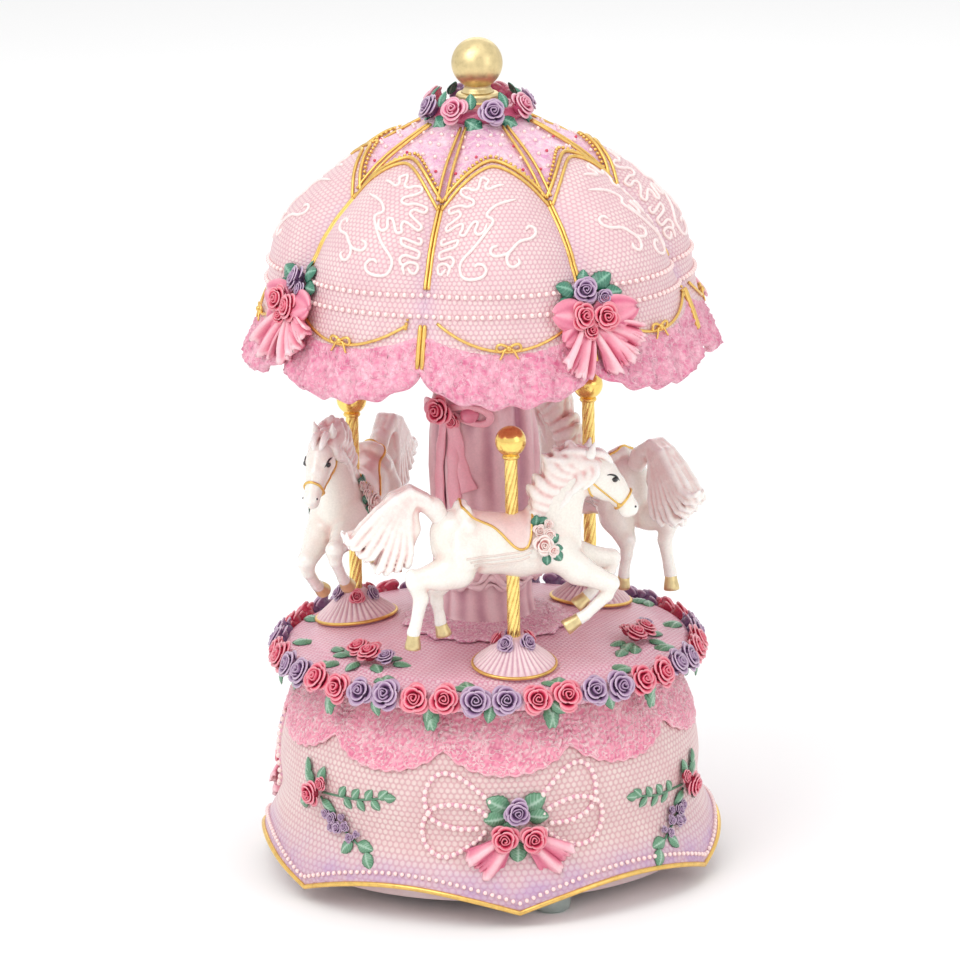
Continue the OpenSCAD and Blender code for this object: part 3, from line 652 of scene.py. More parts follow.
def leaf():
    """A veined leaf along +X, of length 1, that faces +Z."""
    u, v = np.meshgrid(np.linspace(0, 1, 19), np.linspace(-1, 1, 9), indexing="ij")
    width = 0.31 * np.sin(math.pi * np.clip(u, 0.02, 1) ** 0.8) ** 0.75
    width = (width + 0.01) * (1 + 0.12 * np.abs(np.sin(u * math.pi * 5.5)))
    vein = np.cos((u - np.abs(v) * 0.22) * 44)
    z = 0.12 * np.sin(math.pi * u) - 0.16 * u ** 2 - 0.42 * np.abs(v) * width + 0.012 * vein * (1 - np.abs(v) ** 4)
    shade = 0.45 + 0.4 * np.exp(-(v / 0.16) ** 2) + 0.16 * vein * (np.abs(v) > 0.15) - 0.2 * (np.abs(v) > 0.9)
    solid = slab(np.stack([u, v * width, z], -1), 0.06, rim=0.4)
    return Shape().add(solid, two_sided(shade))


def ribbon_tail(seed, spread=0.34):
    """A fluted ribbon end along +X, of length 1, with a frilled edge."""
    rng = np.random.default_rng(seed)
    u, v = np.meshgrid(np.linspace(0, 1, 17), np.linspace(-1, 1, 41), indexing="ij")
    shift = rng.uniform(0, 6)
    wave = 0.75 * np.cos(v * math.pi * 2 + shift + 0.5 * np.sin(u * 3)) + 0.3 * np.cos(v * 11 - 2.1 * shift)
    width = 0.12 + spread * u ** 0.8
    frill = 0.035 * np.cos(v * 22 + shift)
    x = u * (1 + frill + 0.05 * wave - 0.10 * v ** 2)
    z = 0.12 + (0.04 + 0.13 * u) * wave + 0.12 * np.sin(u * 3)
    z = z + 0.035 * np.cos(v * 31 + u * 9) * ease(u, 0.6, 1)
    solid = slab(np.stack([x, v * width, z], -1), 0.07, rim=0.7)
    # Tint: painted shade in the hollows of the flutes, and a painted highlight on their crests and along the
    # frilled end.
    return Shape().add(solid, two_sided(0.46 + 0.44 * wave + 0.3 * (u > 0.9)))


def ribbon_loop(seed):
    """A puffed bow loop along +X, of length 1, with a crease where it folds back."""
    rng = np.random.default_rng(seed)
    t, a = np.meshgrid(np.linspace(0.02, 0.99, 20), np.arange(48) * 7.5, indexing="ij")
    a = np.radians(a)
    swell = np.sin(math.pi * t ** 0.8) ** 0.5
    folds = (0.6 * np.cos(a * 4 + rng.uniform(0, 6)) + 0.5 * np.cos(a * 7 + rng.uniform(0, 6) + t)) * (1 - 0.5 * t)
    y = 0.46 * swell * np.cos(a) * (1 + 0.08 * folds)
    crease = 0.10 * swell * np.exp(-(np.cos(a) / 0.3) ** 2) * (np.sin(a) > 0)
    z = 0.14 + 0.25 * swell * np.sin(a) * (1 + 0.24 * folds) - crease
    points = np.stack([t + 0.05 * np.cos(a * 2) * t, y, z], -1)
    faces = [quads(20, 48, False, True), np.arange(48)[None, ::-1], (np.arange(48) + 19 * 48)[None]]
    # Tint: painted shade in the folds and towards the knot, and a painted highlight on the fold crests.
    return Shape().add((points.reshape(-1, 3), faces),
                       np.clip(0.46 + 0.42 * folds - 0.2 * (1 - t), 0, 1).reshape(-1))


ROSES = [rose(k) for k in range(4)]
LEAF = leaf()


def set_on(target, template, centre, normal, size, spin, up=(0, 0, 1)):
    """Adds a copy of a template to a shape, standing on a surface. spin turns its +X from right towards up."""
    basis = frame_at(normal, up) @ turn_z(spin)
    points, faces = template.joined()
    target.add((points * size @ basis.T + np.asarray(centre, float), faces), template.tint())



def rounded(outline, r):
    """A closed outline with its corners cut back by r and softened."""
    p = np.asarray(outline, float)
    made = []
    for before, corner, after in zip(np.roll(p, 1, 0), p, np.roll(p, -1, 0)):
        a, b = before - corner, after - corner
        cut = min(r, 0.4 * np.linalg.norm(a), 0.4 * np.linalg.norm(b))
        a, b = corner + unit(a) * cut, corner + unit(b) * cut
        made += [(1 - t) ** 2 * a + 2 * t * (1 - t) * corner + t * t * b for t in (0, 0.33, 0.67, 1)]
    return np.array(made)


# ---------------------------------------------------------------- canopy

DOME = smooth_line([(2.5, 183.4), (8, 183), (14.6, 180.2), (24.3, 176), (31.2, 172), (37.9, 167), (42.6, 163),
                    (46.2, 158.6), (49, 152.6), (50, 146), (51, 140), (52.4, 134.5), (54.6, 129), (HEM_R, HEM_Z)],
                   420)
DOME_LENGTH = np.concatenate([[0], np.cumsum(np.linalg.norm(np.diff(DOME, axis=0), axis=1))])
NOTCH_Z = 132.4
VALLEY_Z = 170.2
PEAK_Z = 175.5
PEARL_ROWS = (149.0, 144.5)
SWAG_LOW = 136.0
SWAG_BOW_Z = 137.2
BOUQUET_Z = 142
CANOPY_R = 51.0  # at the bouquets
SWAG_R = 52.0


def across_panel(degrees):
    """-1 to 1 across a panel, 0 at its middle."""
    return ((np.asarray(degrees, float) + PANEL_STEP / 2) % PANEL_STEP - PANEL_STEP / 2) / (PANEL_STEP / 2)


def canopy_swell(degrees, z):
    """How far the surface falls in to the ribs and waves above the hem."""
    a = across_panel(degrees)
    depth = np.interp(z, [124, 133, 137, 144, 150, 156, 162, 170, 176, 180, 184],
                      [0.3, 0.8, 1.0, 2.2, 4.6, 5.6, 5.4, 4.2, 2.0, 0.6, 0])
    return -depth * np.abs(a) ** 2.2 + 0.8 * np.cos(a * math.pi * 5.5) * ease(z, 138, 127)


def dome_frame(z):
    """Radius, height and outward slope of the panel's middle line."""
    s = np.interp(-np.asarray(z, float), -DOME[:, 1], DOME_LENGTH)
    r, h = (np.interp(s, DOME_LENGTH, DOME[:, k]) for k in (0, 1))
    dr, dh = (np.interp(s + 0.8, DOME_LENGTH, DOME[:, k]) - np.interp(s - 0.8, DOME_LENGTH, DOME[:, k])
              for k in (0, 1))
    size = np.hypot(dr, dh)
    return r, h, -dh / size, dr / size


def on_canopy(degrees, z, lift=0.0):
    degrees, z = np.broadcast_arrays(np.asarray(degrees, float), np.asarray(z, float))
    r, h, out, up = dome_frame(z)
    total = canopy_swell(degrees, z) + lift
    return polar(r + total * out, degrees, h + total * up)


def canopy_normal(degrees, z):
    a, b = on_canopy(degrees + 0.5, z), on_canopy(degrees - 0.5, z)
    return unit(np.cross(a - b, on_canopy(degrees, z + 0.4) - on_canopy(degrees, z - 0.4)))


def near_canopy(degrees, z, x, up, lift):
    """A point x mm along and up mm above a place on the canopy, with the normal there."""
    at = degrees + math.degrees(x / CANOPY_R)
    return on_canopy(at, z + up, lift), canopy_normal(at, z + up)


def hem_edge(degrees):
    a = across_panel(degrees)
    lobe = (1 - np.abs(a) ** 2.4) ** 0.7
    return NOTCH_Z - (NOTCH_Z - HEM_Z - 0.5) * lobe + 0.5 * np.cos(a * math.pi * 5.5) * lobe


def arch_edge(a):
    """Height of a panel's pointed arch."""
    return VALLEY_Z + (PEAK_Z - VALLEY_Z) * (1 - np.abs(a) ** 1.7)


def swag_edge(a):
    return SWAG_LOW + 4.5 * np.abs(a) ** 2


def crumple(u, v):
    """Soft folds with sharp valleys, about 3 mm apart."""
    waves = (np.sin(u * 2.3 + 1.3 * np.sin(v * 1.1)) * np.sin(v * 2.0 - 0.9 * np.sin(u * 0.8))
             + 0.55 * np.sin(u * 4.4 + 2.1) * np.cos(v * 3.7 + np.sin(u * 1.9)))
    return np.abs(waves) * 1.1 - 0.4


def canopy_shell():
    """Eight bulging panels, the crown above their arches, the flounce below, and the hub over the column."""
    columns, rows, inside = PANELS * 84, 110, 18
    degrees = all_round(columns)
    end = np.interp(-hem_edge(degrees), -DOME[:, 1], DOME_LENGTH)
    s = end[:, None] * np.linspace(0, 1, rows)[None]
    z = np.interp(s, DOME_LENGTH, DOME[:, 1])
    d = np.broadcast_to(degrees[:, None], z.shape)
    a = across_panel(d)
    crown = ease(z - arch_edge(a), -0.3, 0.3)
    flounce = ease(z - swag_edge(a), 0.4, -0.4)
    around = np.radians(a * PANEL_STEP / 2) * (dome_frame(z)[0] + 4)
    outer = on_canopy(d, z, flounce * (0.35 + 0.55 * crumple(around, s)) - 0.5 * crown)
    lilac = 0.75 * np.exp(-((1 - np.abs(a)) / 0.14) ** 2) * (1 - crown) * (1 - flounce)
    z_in = z[:, -1:] + np.linspace(0, 1, inside)[None] * (CROWN_Z - 5 - z[:, -1:])
    r_in, h_in, out, up = dome_frame(z_in)
    depth = canopy_swell(degrees[:, None] + 0 * z_in, z_in) - 2.0
    inner = polar(np.maximum(r_in + depth * out, 1.0), degrees[:, None], h_in + depth * up)
    lip = 0.5 * (outer[:, -1] + inner[:, 0]) - np.array([0, 0, 0.5])
    ring = np.concatenate([outer, lip[:, None], inner], 1)
    surf = np.concatenate([np.stack([around, s, crown - flounce], -1),
                           np.tile([0.0, 0, -1], (columns, 1 + inside, 1))], 1)
    tint = np.concatenate([lilac, np.zeros((columns, 1 + inside))], 1)
    shape = Shape().ring(ring, tint, surf.reshape(-1, 3))
    hub = turned([(0.6, COLUMN_TOP), (11.4, COLUMN_TOP), (12.4, COLUMN_TOP + 6), (11.0, COLUMN_TOP + 20), (14, 176),
                  (9, 181), (0.6, 181)], 64)
    return shape.add(hub, 0.0, (0, 0, -1))


def strand(shape, degrees, z, radius, lift=0.3):
    """A thin bar laid on the canopy."""
    shape.add(tube(on_canopy(degrees, z, lift), radius, 7), 0.6)


def bead_row(shape, path, pitch, r, closed=False):
    for spot in spaced(path, pitch, closed):
        shape.add(bead(spot, r), 0.6)


def canopy_gold():
    """Gold lines along the arches and ribs, with a row of gold beads inside each arch."""
    shape = Shape()
    a = np.linspace(-1, 1, 61)
    across = a * PANEL_STEP / 2
    strand(shape, across, arch_edge(a), 0.46)
    strand(shape, across * 0.965, arch_edge(a) - 1.0 - 0.5 * np.abs(a) ** 3, 0.4)
    bead_row(shape, on_canopy(across[4:-4], arch_edge(a[4:-4]) + 0.8, 0.1), 1.3, 0.44)
    rib = PANEL_STEP / 2
    for side in (-1, 1):
        z = np.linspace(VALLEY_Z - 0.5, 150.4, 40)
        strand(shape, rib + side * np.degrees(0.48 / dome_frame(z)[0]), z, 0.42, lift=0.15)
        z = np.linspace(VALLEY_Z, 181, 26)
        strand(shape, rib + side * np.interp(z, [VALLEY_Z, 181], [1.7, 2.6]), z, 0.38)
        z = np.linspace(142.6, 133.0, 18)
        strand(shape, rib + side * 0.6, z, np.interp(np.arange(18), [0, 2, 15, 17], [0.4, 0.56, 0.56, 0.4]),
               lift=0.5)
    return shape.turned_copies(EACH_PANEL)


def canopy_swags():
    """A gold swag on each panel, with a small bow at its lowest point."""
    shape = Shape()
    a = np.linspace(-0.82, 0.82, 45)
    z = 136.7 + 5.8 * (np.abs(a) / 0.82) ** 1.9 + 0.6 * (a < 0) * (np.abs(a) / 0.82) ** 2
    strand(shape, a * PANEL_STEP / 2, z, 0.36, lift=0.45)
    for k in range(3):
        spot = near_canopy(0.80 * PANEL_STEP / 2, 142.2, 0.2 * k, 0.9 * k - 0.4, 0.5)[0]
        shape.add(bead(spot, 0.55 - 0.1 * k))
    for side in (-1, 1):
        t = np.radians(np.arange(20) * 18)
        x, up = side * (1.55 + 1.25 * np.cos(t)), 0.75 * np.sin(t) * (1 + 0.35 * np.cos(t)) + 0.4
        shape.add(tube(on_canopy(np.degrees(x / SWAG_R), SWAG_BOW_Z + up, 0.8 + 0.25 * np.sin(t)), 0.34, 7, True),
                  0.6)
        t = np.linspace(0, 1, 9)
        x, up = side * (0.3 + 1.9 * t), -1.7 * t + 0.5 * np.sin(t * 5)
        strand(shape, np.degrees(x / SWAG_R), SWAG_BOW_Z + up, 0.36 * (1 - 0.4 * t), lift=0.85)
    shape.add(bead(on_canopy(0, 137.4, 1.0), 0.75, 6, 10))
    return shape.turned_copies(EACH_PANEL)


# Each panel's stitches, as (degrees from the panel's middle, height).
STITCHES = [
    [(6.9, 168.7), (-0.3, 167.7), (-3.6, 166.5), (-4.2, 165.7), (-2.7, 165.1), (-2.6, 164.4), (-4.6, 162.9),
     (-8.5, 159.9), (-11.7, 157.6), (-12.5, 155.9), (-11.7, 153.8), (-9.4, 153.1), (-6.4, 153.6), (-5.2, 154.9),
     (-5.9, 156.1), (-7.4, 156.4), (-8.4, 155.8)],
    [(3.4, 171.3), (0.4, 171.1), (-3.1, 170.6), (-4.1, 171.2), (-2.7, 172.1), (-5.2, 172.7), (-6.3, 172.0),
     (-7, 170.9), (-9.2, 170.7), (-10.9, 171.2), (-13.6, 171.3), (-14.1, 170.6), (-11.9, 169.7), (-9, 168.9),
     (-9, 168.1), (-11.3, 167.9), (-13.8, 168.4), (-17.6, 168.4), (-18.1, 167.9), (-17.2, 167.4), (-14.2, 167.4),
     (-13.3, 166.6), (-14.9, 166), (-17.6, 165.3), (-18.1, 164.8), (-17.2, 164.2), (-14.2, 164.8), (-12.4, 164.9),
     (-12.2, 164), (-12.9, 163), (-11.4, 162.7), (-9.7, 164.2), (-8.4, 164.9), (-7.3, 164.6), (-8.2, 163.2),
     (-7.2, 162.4), (-5.4, 162.9), (-4.4, 164.4)],
    [(-17.6, 162.7), (-18.9, 162.7), (-19.1, 162), (-18.3, 161.6), (-13.9, 161.9), (-13.5, 161.3), (-14.6, 160.5),
     (-18.6, 160.1), (-19.3, 159.3), (-18.6, 158.3), (-15.7, 158.5), (-14.4, 157.6), (-14.8, 156.5),
     (-15.9, 156.2)],
    [(-16.2, 154.1), (-15.5, 155.9), (-16.8, 157), (-18.6, 157.1), (-19.4, 156.4), (-19, 154.9), (-17.9, 154.7),
     (-16.7, 155.9)],
    [(7.6, 163), (8.9, 163.7), (10.6, 163.4), (10.5, 162.3), (8.4, 161.3), (4.7, 160.6), (1.8, 158.8), (0.1, 158.1),
     (-2.7, 157.9), (-3.8, 158.7), (-3.3, 159.6), (-1.6, 160)],
    [(1.8, 158.8), (0.6, 157.4), (1, 155.9), (2.5, 155.5), (4, 156.3), (3.8, 157.2)],
]


def embroidery():
    """The stitched branch on each panel. Every other panel has it the other way round."""
    shape = Shape()
    for way, place in ((1, 0), (-1, PANEL_STEP)):
        for stitch in STITCHES:
            line = smooth_line(stitch, len(stitch) * 7)
            ends = np.minimum(1, 0.55 + np.minimum(np.arange(len(line)), np.arange(len(line))[::-1]) * 0.12)
            shape.add(tube(on_canopy(place + way * line[:, 0], line[:, 1], 0.12), 0.40 * ends, 7), 0.7)
    return shape.turned_copies(np.arange(PANELS // 2) * 2 * PANEL_STEP)


def canopy_pearls():
    shape = Shape()
    around = np.linspace(0, 360, 720, endpoint=False)
    for z in PEARL_ROWS:
        bead_row(shape, on_canopy(around, np.full(720, z), 0.3), 1.9, 0.6, True)
    return shape


def crown_dots(colour):
    """Dots over the crown zone: pearls in a loose lattice and a few red ones between them."""
    rng = np.random.default_rng(5)
    shape = Shape()
    for row, z in enumerate((172.6, 174.6, 176.6, 178.4, 179.9)):
        count = (10, 9, 7, 5, 4)[row]
        for k in range(count):
            a = (k + 0.5) / count * 2 + (row % 2) * 0.1 - 0.05
            a = (a + rng.uniform(-0.05, 0.05)) % 2 - 1
            red = (3 * k + row) % 7 == 1
            if z > arch_edge(a) + 1.1 and abs(abs(a) - 1) > 0.12 and red == (colour == "red"):
                shape.add(bead(on_canopy(a * PANEL_STEP / 2, z, -0.3), 0.38 if red else 0.5))
    return shape.turned_copies(EACH_PANEL)


def canopy_bouquets():
    parts = shapes("red", "lilac", "teal", "ribbon")

    def lay(name, template, x, up, size, spin=0.0, *, lift):
        spot, normal = near_canopy(PANEL_STEP / 2, BOUQUET_Z, x, up, lift)
        set_on(parts[name], template, spot, normal, size, spin)

    lay("lilac", ROSES[0], 0.3, 6.3, 3.0, lift=1.8)
    lay("red", ROSES[1], -3.0, 1.2, 3.1, 40, lift=2.0)
    lay("red", ROSES[2], 3.2, 0.4, 3.2, 110, lift=2.0)
    lay("lilac", ROSES[3], 4.4, 4.6, 1.9, lift=1.5)
    lay("red", ROSES[0], -1.2, -2.2, 2.2, lift=1.8)
    for x, up, spin, size in ((-2.4, 6.4, 150, 5.4), (-3.4, 4.6, 185, 4.8), (2.6, 7.2, 35, 5.6), (4.6, 5.4, 5, 5.0),
                              (-0.2, -1.6, 262, 5.4), (0.6, 8.0, 85, 3.6), (1.6, -1.4, 292, 4.4)):
        lay("teal", LEAF, x, up, (size, size * 1.15, size), spin, lift=1.2)
    lay("ribbon", ribbon_loop(3), -1.0, 0.8, (9.6, 8.4, 8.0), 168, lift=0.4)
    lay("ribbon", ribbon_loop(4), 1.0, 0.6, (11.2, 8.6, 8.0), 8, lift=0.4)
    lay("ribbon", ribbon_loop(6), -0.8, -0.6, (8.4, 7.6, 7.0), 205, lift=0.2)
    lay("ribbon", ribbon_loop(7), 0.8, -0.8, (9.4, 7.6, 7.0), 335, lift=0.2)
    lay("ribbon", ribbon_tail(5), -0.6, -0.6, (13.2, 9.5, 8.5), 238, lift=0.4)
    lay("ribbon", ribbon_tail(6), 1.0, -0.8, (12.6, 9.5, 8.5), 302, lift=0.4)
    lay("ribbon", ribbon_tail(9), 1.4, -0.6, (12.4, 8.5, 8.0), 334, lift=0.1)
    return {name: part.turned_copies(all_round(4)) for name, part in parts.items()}


def wreath():
    """Eight roses and their leaves round the crown, on a low ring."""
    parts = shapes("pink", "lilac", "teal")
    for k in range(8):
        angle = k * 45 + 10
        tilt = math.radians(30 + 4 * (k % 2))
        normal = polar(math.cos(tilt), angle, math.sin(tilt))
        set_on(parts["pink" if k % 2 else "lilac"], ROSES[k % 4], polar(10.6, angle, 183.6 + 0.4 * (k % 2)),
               normal, 3.1, k * 50)
        for turn, spin, z, size in ((-13, 215, 182.2, 5.0), (13, 330, 182.4, 5.0), (22, 262, 182.6, 4.6),
                                    (20, 95, 185, 4.0)):
            side = polar(0.9, angle + turn, 0.44)
            set_on(parts["teal"], LEAF, polar(11.2, angle + turn, z), side, size, spin)
    parts["pink"].add(turned([(6.2, 182), (10.5, 181.4), (11.0, 182.6), (9.6, 184.4), (6.2, 185.2)], 64), 0.2)
    return parts


def finial_collar():
    ring = [(2.0, 183.2), (6.4, 183.2), (6.5, 184.6), (6.1, 185.1), (5.2, 185.3), (5.1, 186.6), (4.7, 187.1),
            (2.0, 187.2)]
    return Shape().add(turned(rounded(ring, 0.2), 96), 0.7)


def finial():
    a = np.radians(np.linspace(-58, 89, 60))
    ball = np.column_stack([FINIAL_R * np.cos(a), FINIAL_TOP - FINIAL_R + FINIAL_R * np.sin(a)])
    neck = smooth_line([(3.9, 187.2), (3.5, 187.7), (3.15, 188.2), (3.1, 188.8)], 12)
    profile = np.concatenate([[(0.05, 187.2)], neck, ball, [(0.05, FINIAL_TOP)]])
    return Shape().add(turned(profile, 96), 0.6)


# ---------------------------------------------------------------- base

WALL = smooth_line([(55, CORNER_Z), (55.2, 7), (54.2, 10.2), (51.5, 15.5), (50, 20.5), (50.3, 27), (49.6, 33),
                    (47.5, 39.5), (44.8, 45), (42.5, DECK_Z)], 240)
WALL_R = 50.2  # at the bows
SKIRT_R = 55.0
ARCH_TOP = 9.0


def wall_r(z):
    return np.interp(z, WALL[:, 1], WALL[:, 0])


def on_wall(degrees, z, lift=0.0):
    slope = np.arctan2(wall_r(np.asarray(z) - 0.5) - wall_r(np.asarray(z) + 0.5), 1.0)
    return polar(wall_r(z) + lift * np.cos(slope), degrees, z + lift * np.sin(slope))


def wall_normal(degrees, z):
    slope = math.atan2(float(wall_r(z - 0.5) - wall_r(z + 0.5)), 1.0)
    return polar(math.cos(slope), degrees, math.sin(slope))


def near_wall(degrees, z, x, up, lift):
    at = degrees + math.degrees(x / WALL_R)
    return on_wall(at, z + up, lift), wall_normal(at, z + up)


def skirt_edge(degrees):
    """Height of the skirt's lower edge: low at the corners, an arch between them."""
    half = SKIRT_R * math.sin(math.radians(180 / CORNERS))
    rise = ARCH_TOP - CORNER_Z
    big = (half ** 2 + rise ** 2) / (2 * rise)
    off = (np.asarray(degrees, float) % (360 / CORNERS)) - 180 / CORNERS
    return ARCH_TOP - big + np.sqrt(big ** 2 - (SKIRT_R * np.sin(np.radians(off))) ** 2)


def base_shell():
    """The flared wall with its arched skirt, and the inside: deck, movement compartment and floor ring."""
    columns, rows = 480, 72
    degrees = all_round(columns)
    edge = skirt_edge(degrees)
    t = np.linspace(0, 1, rows)
    z = edge[:, None] + (DECK_Z - edge[:, None]) * t[None]
    outer = on_wall(degrees[:, None] + 0 * z, z)
    low = np.stack([np.maximum(49.5, 52 - (edge - CORNER_Z) * 1.667), edge], -1)
    inner = [(5.1, DECK_Z), (5.1, 45.5), (40, 45.5), (44, 38.5), (46.8, 27), (46.5, 15.5), (34, 15.5), (34, 11.5),
             (38, 11.5), (38, 5), (49.5, 5)]
    ring = [outer, *[polar(r, degrees, h)[:, None] for r, h in inner]]
    ring = np.concatenate([*ring, polar(low[:, 0], degrees, low[:, 1])[:, None]], 1)
    above = z - edge[:, None]
    corner = np.exp(-((np.abs((degrees[:, None] + 30) % 60 - 30)) / 11) ** 2)
    lilac = np.clip(1.0 * ease(above, 8.5, 0.5) + 0.6 * corner * ease(above, 17, 2), 0, 1)
    surf = np.stack([degrees[:, None] / 360 * 209 * NET_PITCH + 0 * z, z * 1.02, 0 * z], -1)
    extra = ring.shape[1] - rows
    surf = np.concatenate([surf, np.zeros((columns, extra, 3))], 1)
    tint = np.concatenate([lilac, np.full((columns, extra), 0.2)], 1)
    return Shape().ring(ring, tint, surf.reshape(-1, 3))


def lace_collar():
    """A scalloped lace frill laid over the top of the base, crumpled, with a corded edge."""
    step = 360 / LACE_SCALLOPS
    columns, rows = LACE_SCALLOPS * 56, 26
    degrees = all_round(columns)
    a = ((degrees - LACE_TURN + step / 2) % step - step / 2) / (step / 2)
    low = 41.2 - 6.0 * (1 - np.abs(a) ** 2.1) ** 0.8 + 0.25 * np.cos(a * math.pi * 9)
    t = np.linspace(0, 1, rows)
    z = DECK_Z - 0.2 - (DECK_Z - 0.2 - low[:, None]) * t[None]
    around = np.radians(degrees)[:, None] * 48 + 0 * z
    folds = crumple(around * 1.25, z * 1.3)
    lift = 0.55 + 0.55 * folds * np.sin(np.pi * np.clip(t * 1.05, 0, 1))[None] ** 0.4
    points = on_wall(degrees[:, None] + 0 * z, z, lift)
    # Tint: painted shade in the hollows of the folds and a painted highlight on their crests, lighter towards the
    # top.
    shape = Shape().add(slab(points, 0.9, wrap_u=True), two_sided(0.36 + 0.5 * folds + 0.2 * (1 - t)[None]))
    wave = 0.12 * np.cos(np.arange(columns) * 2 * math.pi * 6 / 56)
    shape.add(tube(on_wall(degrees, low + 0.1, 0.7 + wave), 0.36, 6, True), 0.62)
    return shape


def base_rim():
    degrees = all_round(480)
    return Shape().add(tube(on_wall(degrees, skirt_edge(degrees) + 0.15, 0.05), 0.62, 10, True), 0.6)


def hem_pearls():
    degrees = all_round(480)
    shape = Shape()
    bead_row(shape, on_wall(degrees, skirt_edge(degrees) + 2.7, 0.3), 1.7, 0.56, True)
    return shape


# Each loop of a pearl bow, as millimetres along and up from the bow's middle.
PEARL_LOOPS = [
    [(-5.9, 6), (-9.1, 8.7), (-12.6, 11.2), (-16.1, 12.3), (-18.9, 11.6), (-20.8, 9.1), (-21.3, 5.8), (-20.3, 2.5),
     (-18.2, 0.7), (-14.7, -0.4), (-11.9, -0.7), (-9.1, -0.5)],
    [(-7, 2.9), (-9.1, 4.3), (-11.9, 4.9), (-14.7, 5.2), (-17.5, 4.8), (-19.9, 3.6), (-21.7, 0.6), (-22, -2.2),
     (-21, -5.1), (-18.2, -7.1), (-15.4, -7.2), (-11.9, -5.4), (-8.7, -3.3), (-7.3, -1.4)],
    [(5.2, 5.8), (8.4, 9), (11.9, 12), (15.4, 13.4), (18, 12.6), (19.6, 9.8), (19.6, 5.8), (18.2, 2.6), (15.4, 0.8),
     (11.9, 0), (8.4, 0)],
    [(6.3, 2.6), (8.8, 4.2), (11.9, 5.2), (15.1, 5.6), (18.2, 4.9), (20.6, 3.2), (21.3, 0.4), (20.8, -2.6),
     (18.9, -5), (15.4, -6), (11.9, -5.2), (8.8, -3.4), (7, -1.4)],
]
BOW_Z = 23.5


def pearl_bows():
    """Strings of pearls in four loops, and the raised cord they sit on."""
    pearls, cord = Shape(), Shape()
    for loop in PEARL_LOOPS:
        line = smooth_line(loop, 120)
        path = on_wall(np.degrees(line[:, 0] / WALL_R), BOW_Z + line[:, 1], 0.5)
        bead_row(pearls, path, 1.8, 0.72)
        cord.add(tube(on_wall(np.degrees(line[:, 0] / WALL_R), BOW_Z + line[:, 1], 0.0), 0.55, 8), 0.45)
    return pearls.turned_copies(EACH_BOW), cord.turned_copies(EACH_BOW)


def base_bouquets():
    parts = shapes("red", "lilac", "leaf", "ribbon")

    def lay(name, template, x, up, size, spin=0.0, *, lift):
        spot, normal = near_wall(0, BOW_Z, x, up, lift)
        set_on(parts[name], template, spot, normal, size, spin)

    lay("lilac", ROSES[0], 0.1, 4.0, 3.0, 20, lift=1.7)
    lay("red", ROSES[1], -2.9, -2.4, 3.2, 70, lift=1.8)
    lay("red", ROSES[2], 3.5, -2.8, 3.2, 200, lift=1.8)
    for x, up, spin, size in ((-1.6, 4.2, 155, 5.8), (-2.6, 2.4, 190, 5.0), (1.8, 4.4, 25, 5.8),
                              (2.8, 2.6, 350, 5.0),
                              (0.3, -4.0, 268, 5.2), (-0.6, 0.8, 220, 4.0)):
        lay("leaf", LEAF, x, up, (size, size * 1.2, size), spin, lift=1.0)
    lay("ribbon", ribbon_tail(1, 0.44), -2.0, -3.0, (10.4, 9.4, 8.0), 224, lift=0.4)
    lay("ribbon", ribbon_tail(2, 0.44), 2.8, -3.0, (10.4, 9.4, 8.0), 318, lift=0.4)
    return {name: part.turned_copies(EACH_BOW) for name, part in parts.items()}


def base_sprays():
    """Three sprays: a large and a small rose, ivy on two stems, and lilac. The right one mirrors the left one."""
    parts = shapes("red", "leaf", "lilac")
    for angle, side, middle in ((-60, 1, 26.4), (60, -1, 23.6), (180, 1, 25.0)):

        def lay(name, template, x, up, size, spin, lift):
            spot, normal = near_wall(angle, middle, side * x, up, lift)
            set_on(parts[name], template, spot, normal, size, spin if side > 0 else 180 - spin)

        lay("red", ROSES[3], 0, 0, 2.8, 30, lift=1.3)
        lay("red", ROSES[1], 2.6, 2.6, 1.6, 10, lift=0.9)
        for x, up, spin, size in ((-1.5, 1.4, 140, 5.2), (-2, -1, 215, 5.0), (2, -1.6, 330, 4.6), (1, 2, 75, 4.6),
                                  (-4.4, -3.4, 200, 4.6), (-3.2, 3.8, 120, 3.8)):
            lay("leaf", LEAF, x, up, size, spin, lift=0.8)
        stem = smooth_line([(2, 0.2), (8, 0.6), (14, 0.9), (21, 2.4)], 40)
        low = smooth_line([(1, -1), (5, -5.5), (10, -8), (17, -11.5)], 40)
        for line in (stem, low):
            at = angle + side * np.degrees(line[:, 0] / WALL_R)
            parts["leaf"].add(tube(on_wall(at, middle + line[:, 1], 0.25), 0.3, 6), 0.3)
        for x, up, spin in ((8, 0.6, 60), (9.5, 0.4, -50), (12, 0.9, 55), (13.6, 0.7, -55), (16, 1.2, 60),
                            (17.6, 1.3, -45),
                            (19.6, 2.0, 45), (21, 2.4, 5)):
            lay("leaf", LEAF, x, up, (3.0, 3.4, 3.0), spin, lift=0.4)
        for x, up, spin in ((14, -9.8, 350), (16.6, -11.4, 300), (12.2, -9.6, 230)):
            lay("leaf", LEAF, x, up, (4.4, 4.6, 4.4), spin, lift=0.5)
        for x, up, size in ((3.4, -4.6, 1.3), (5.6, -5.2, 1.5), (7.6, -7.4, 1.4), (9.8, -6.6, 1.2),
                            (5.4, -7.6, 1.1),
                            (11.6, -9, 1.1), (8.6, -4.4, 1.0), (13.4, -7.8, 0.9)):
            lay("lilac", ROSES[int(x) % 4], x, up, size, x * 40, lift=0.5)
    return parts


# ---------------------------------------------------------------- platform and column

SLOPE = (TABLE_TOP - TABLE_RIM_Z) / (TABLE_R - TABLE_FLAT_R)


def table_z(r):
    return TABLE_TOP - SLOPE * np.maximum(np.asarray(r, float) - TABLE_FLAT_R, 0)


TABLE_NORMAL_UP = math.cos(math.atan(SLOPE))


def table_normal(degrees):
    return polar(math.sin(math.atan(SLOPE)), degrees, TABLE_NORMAL_UP)


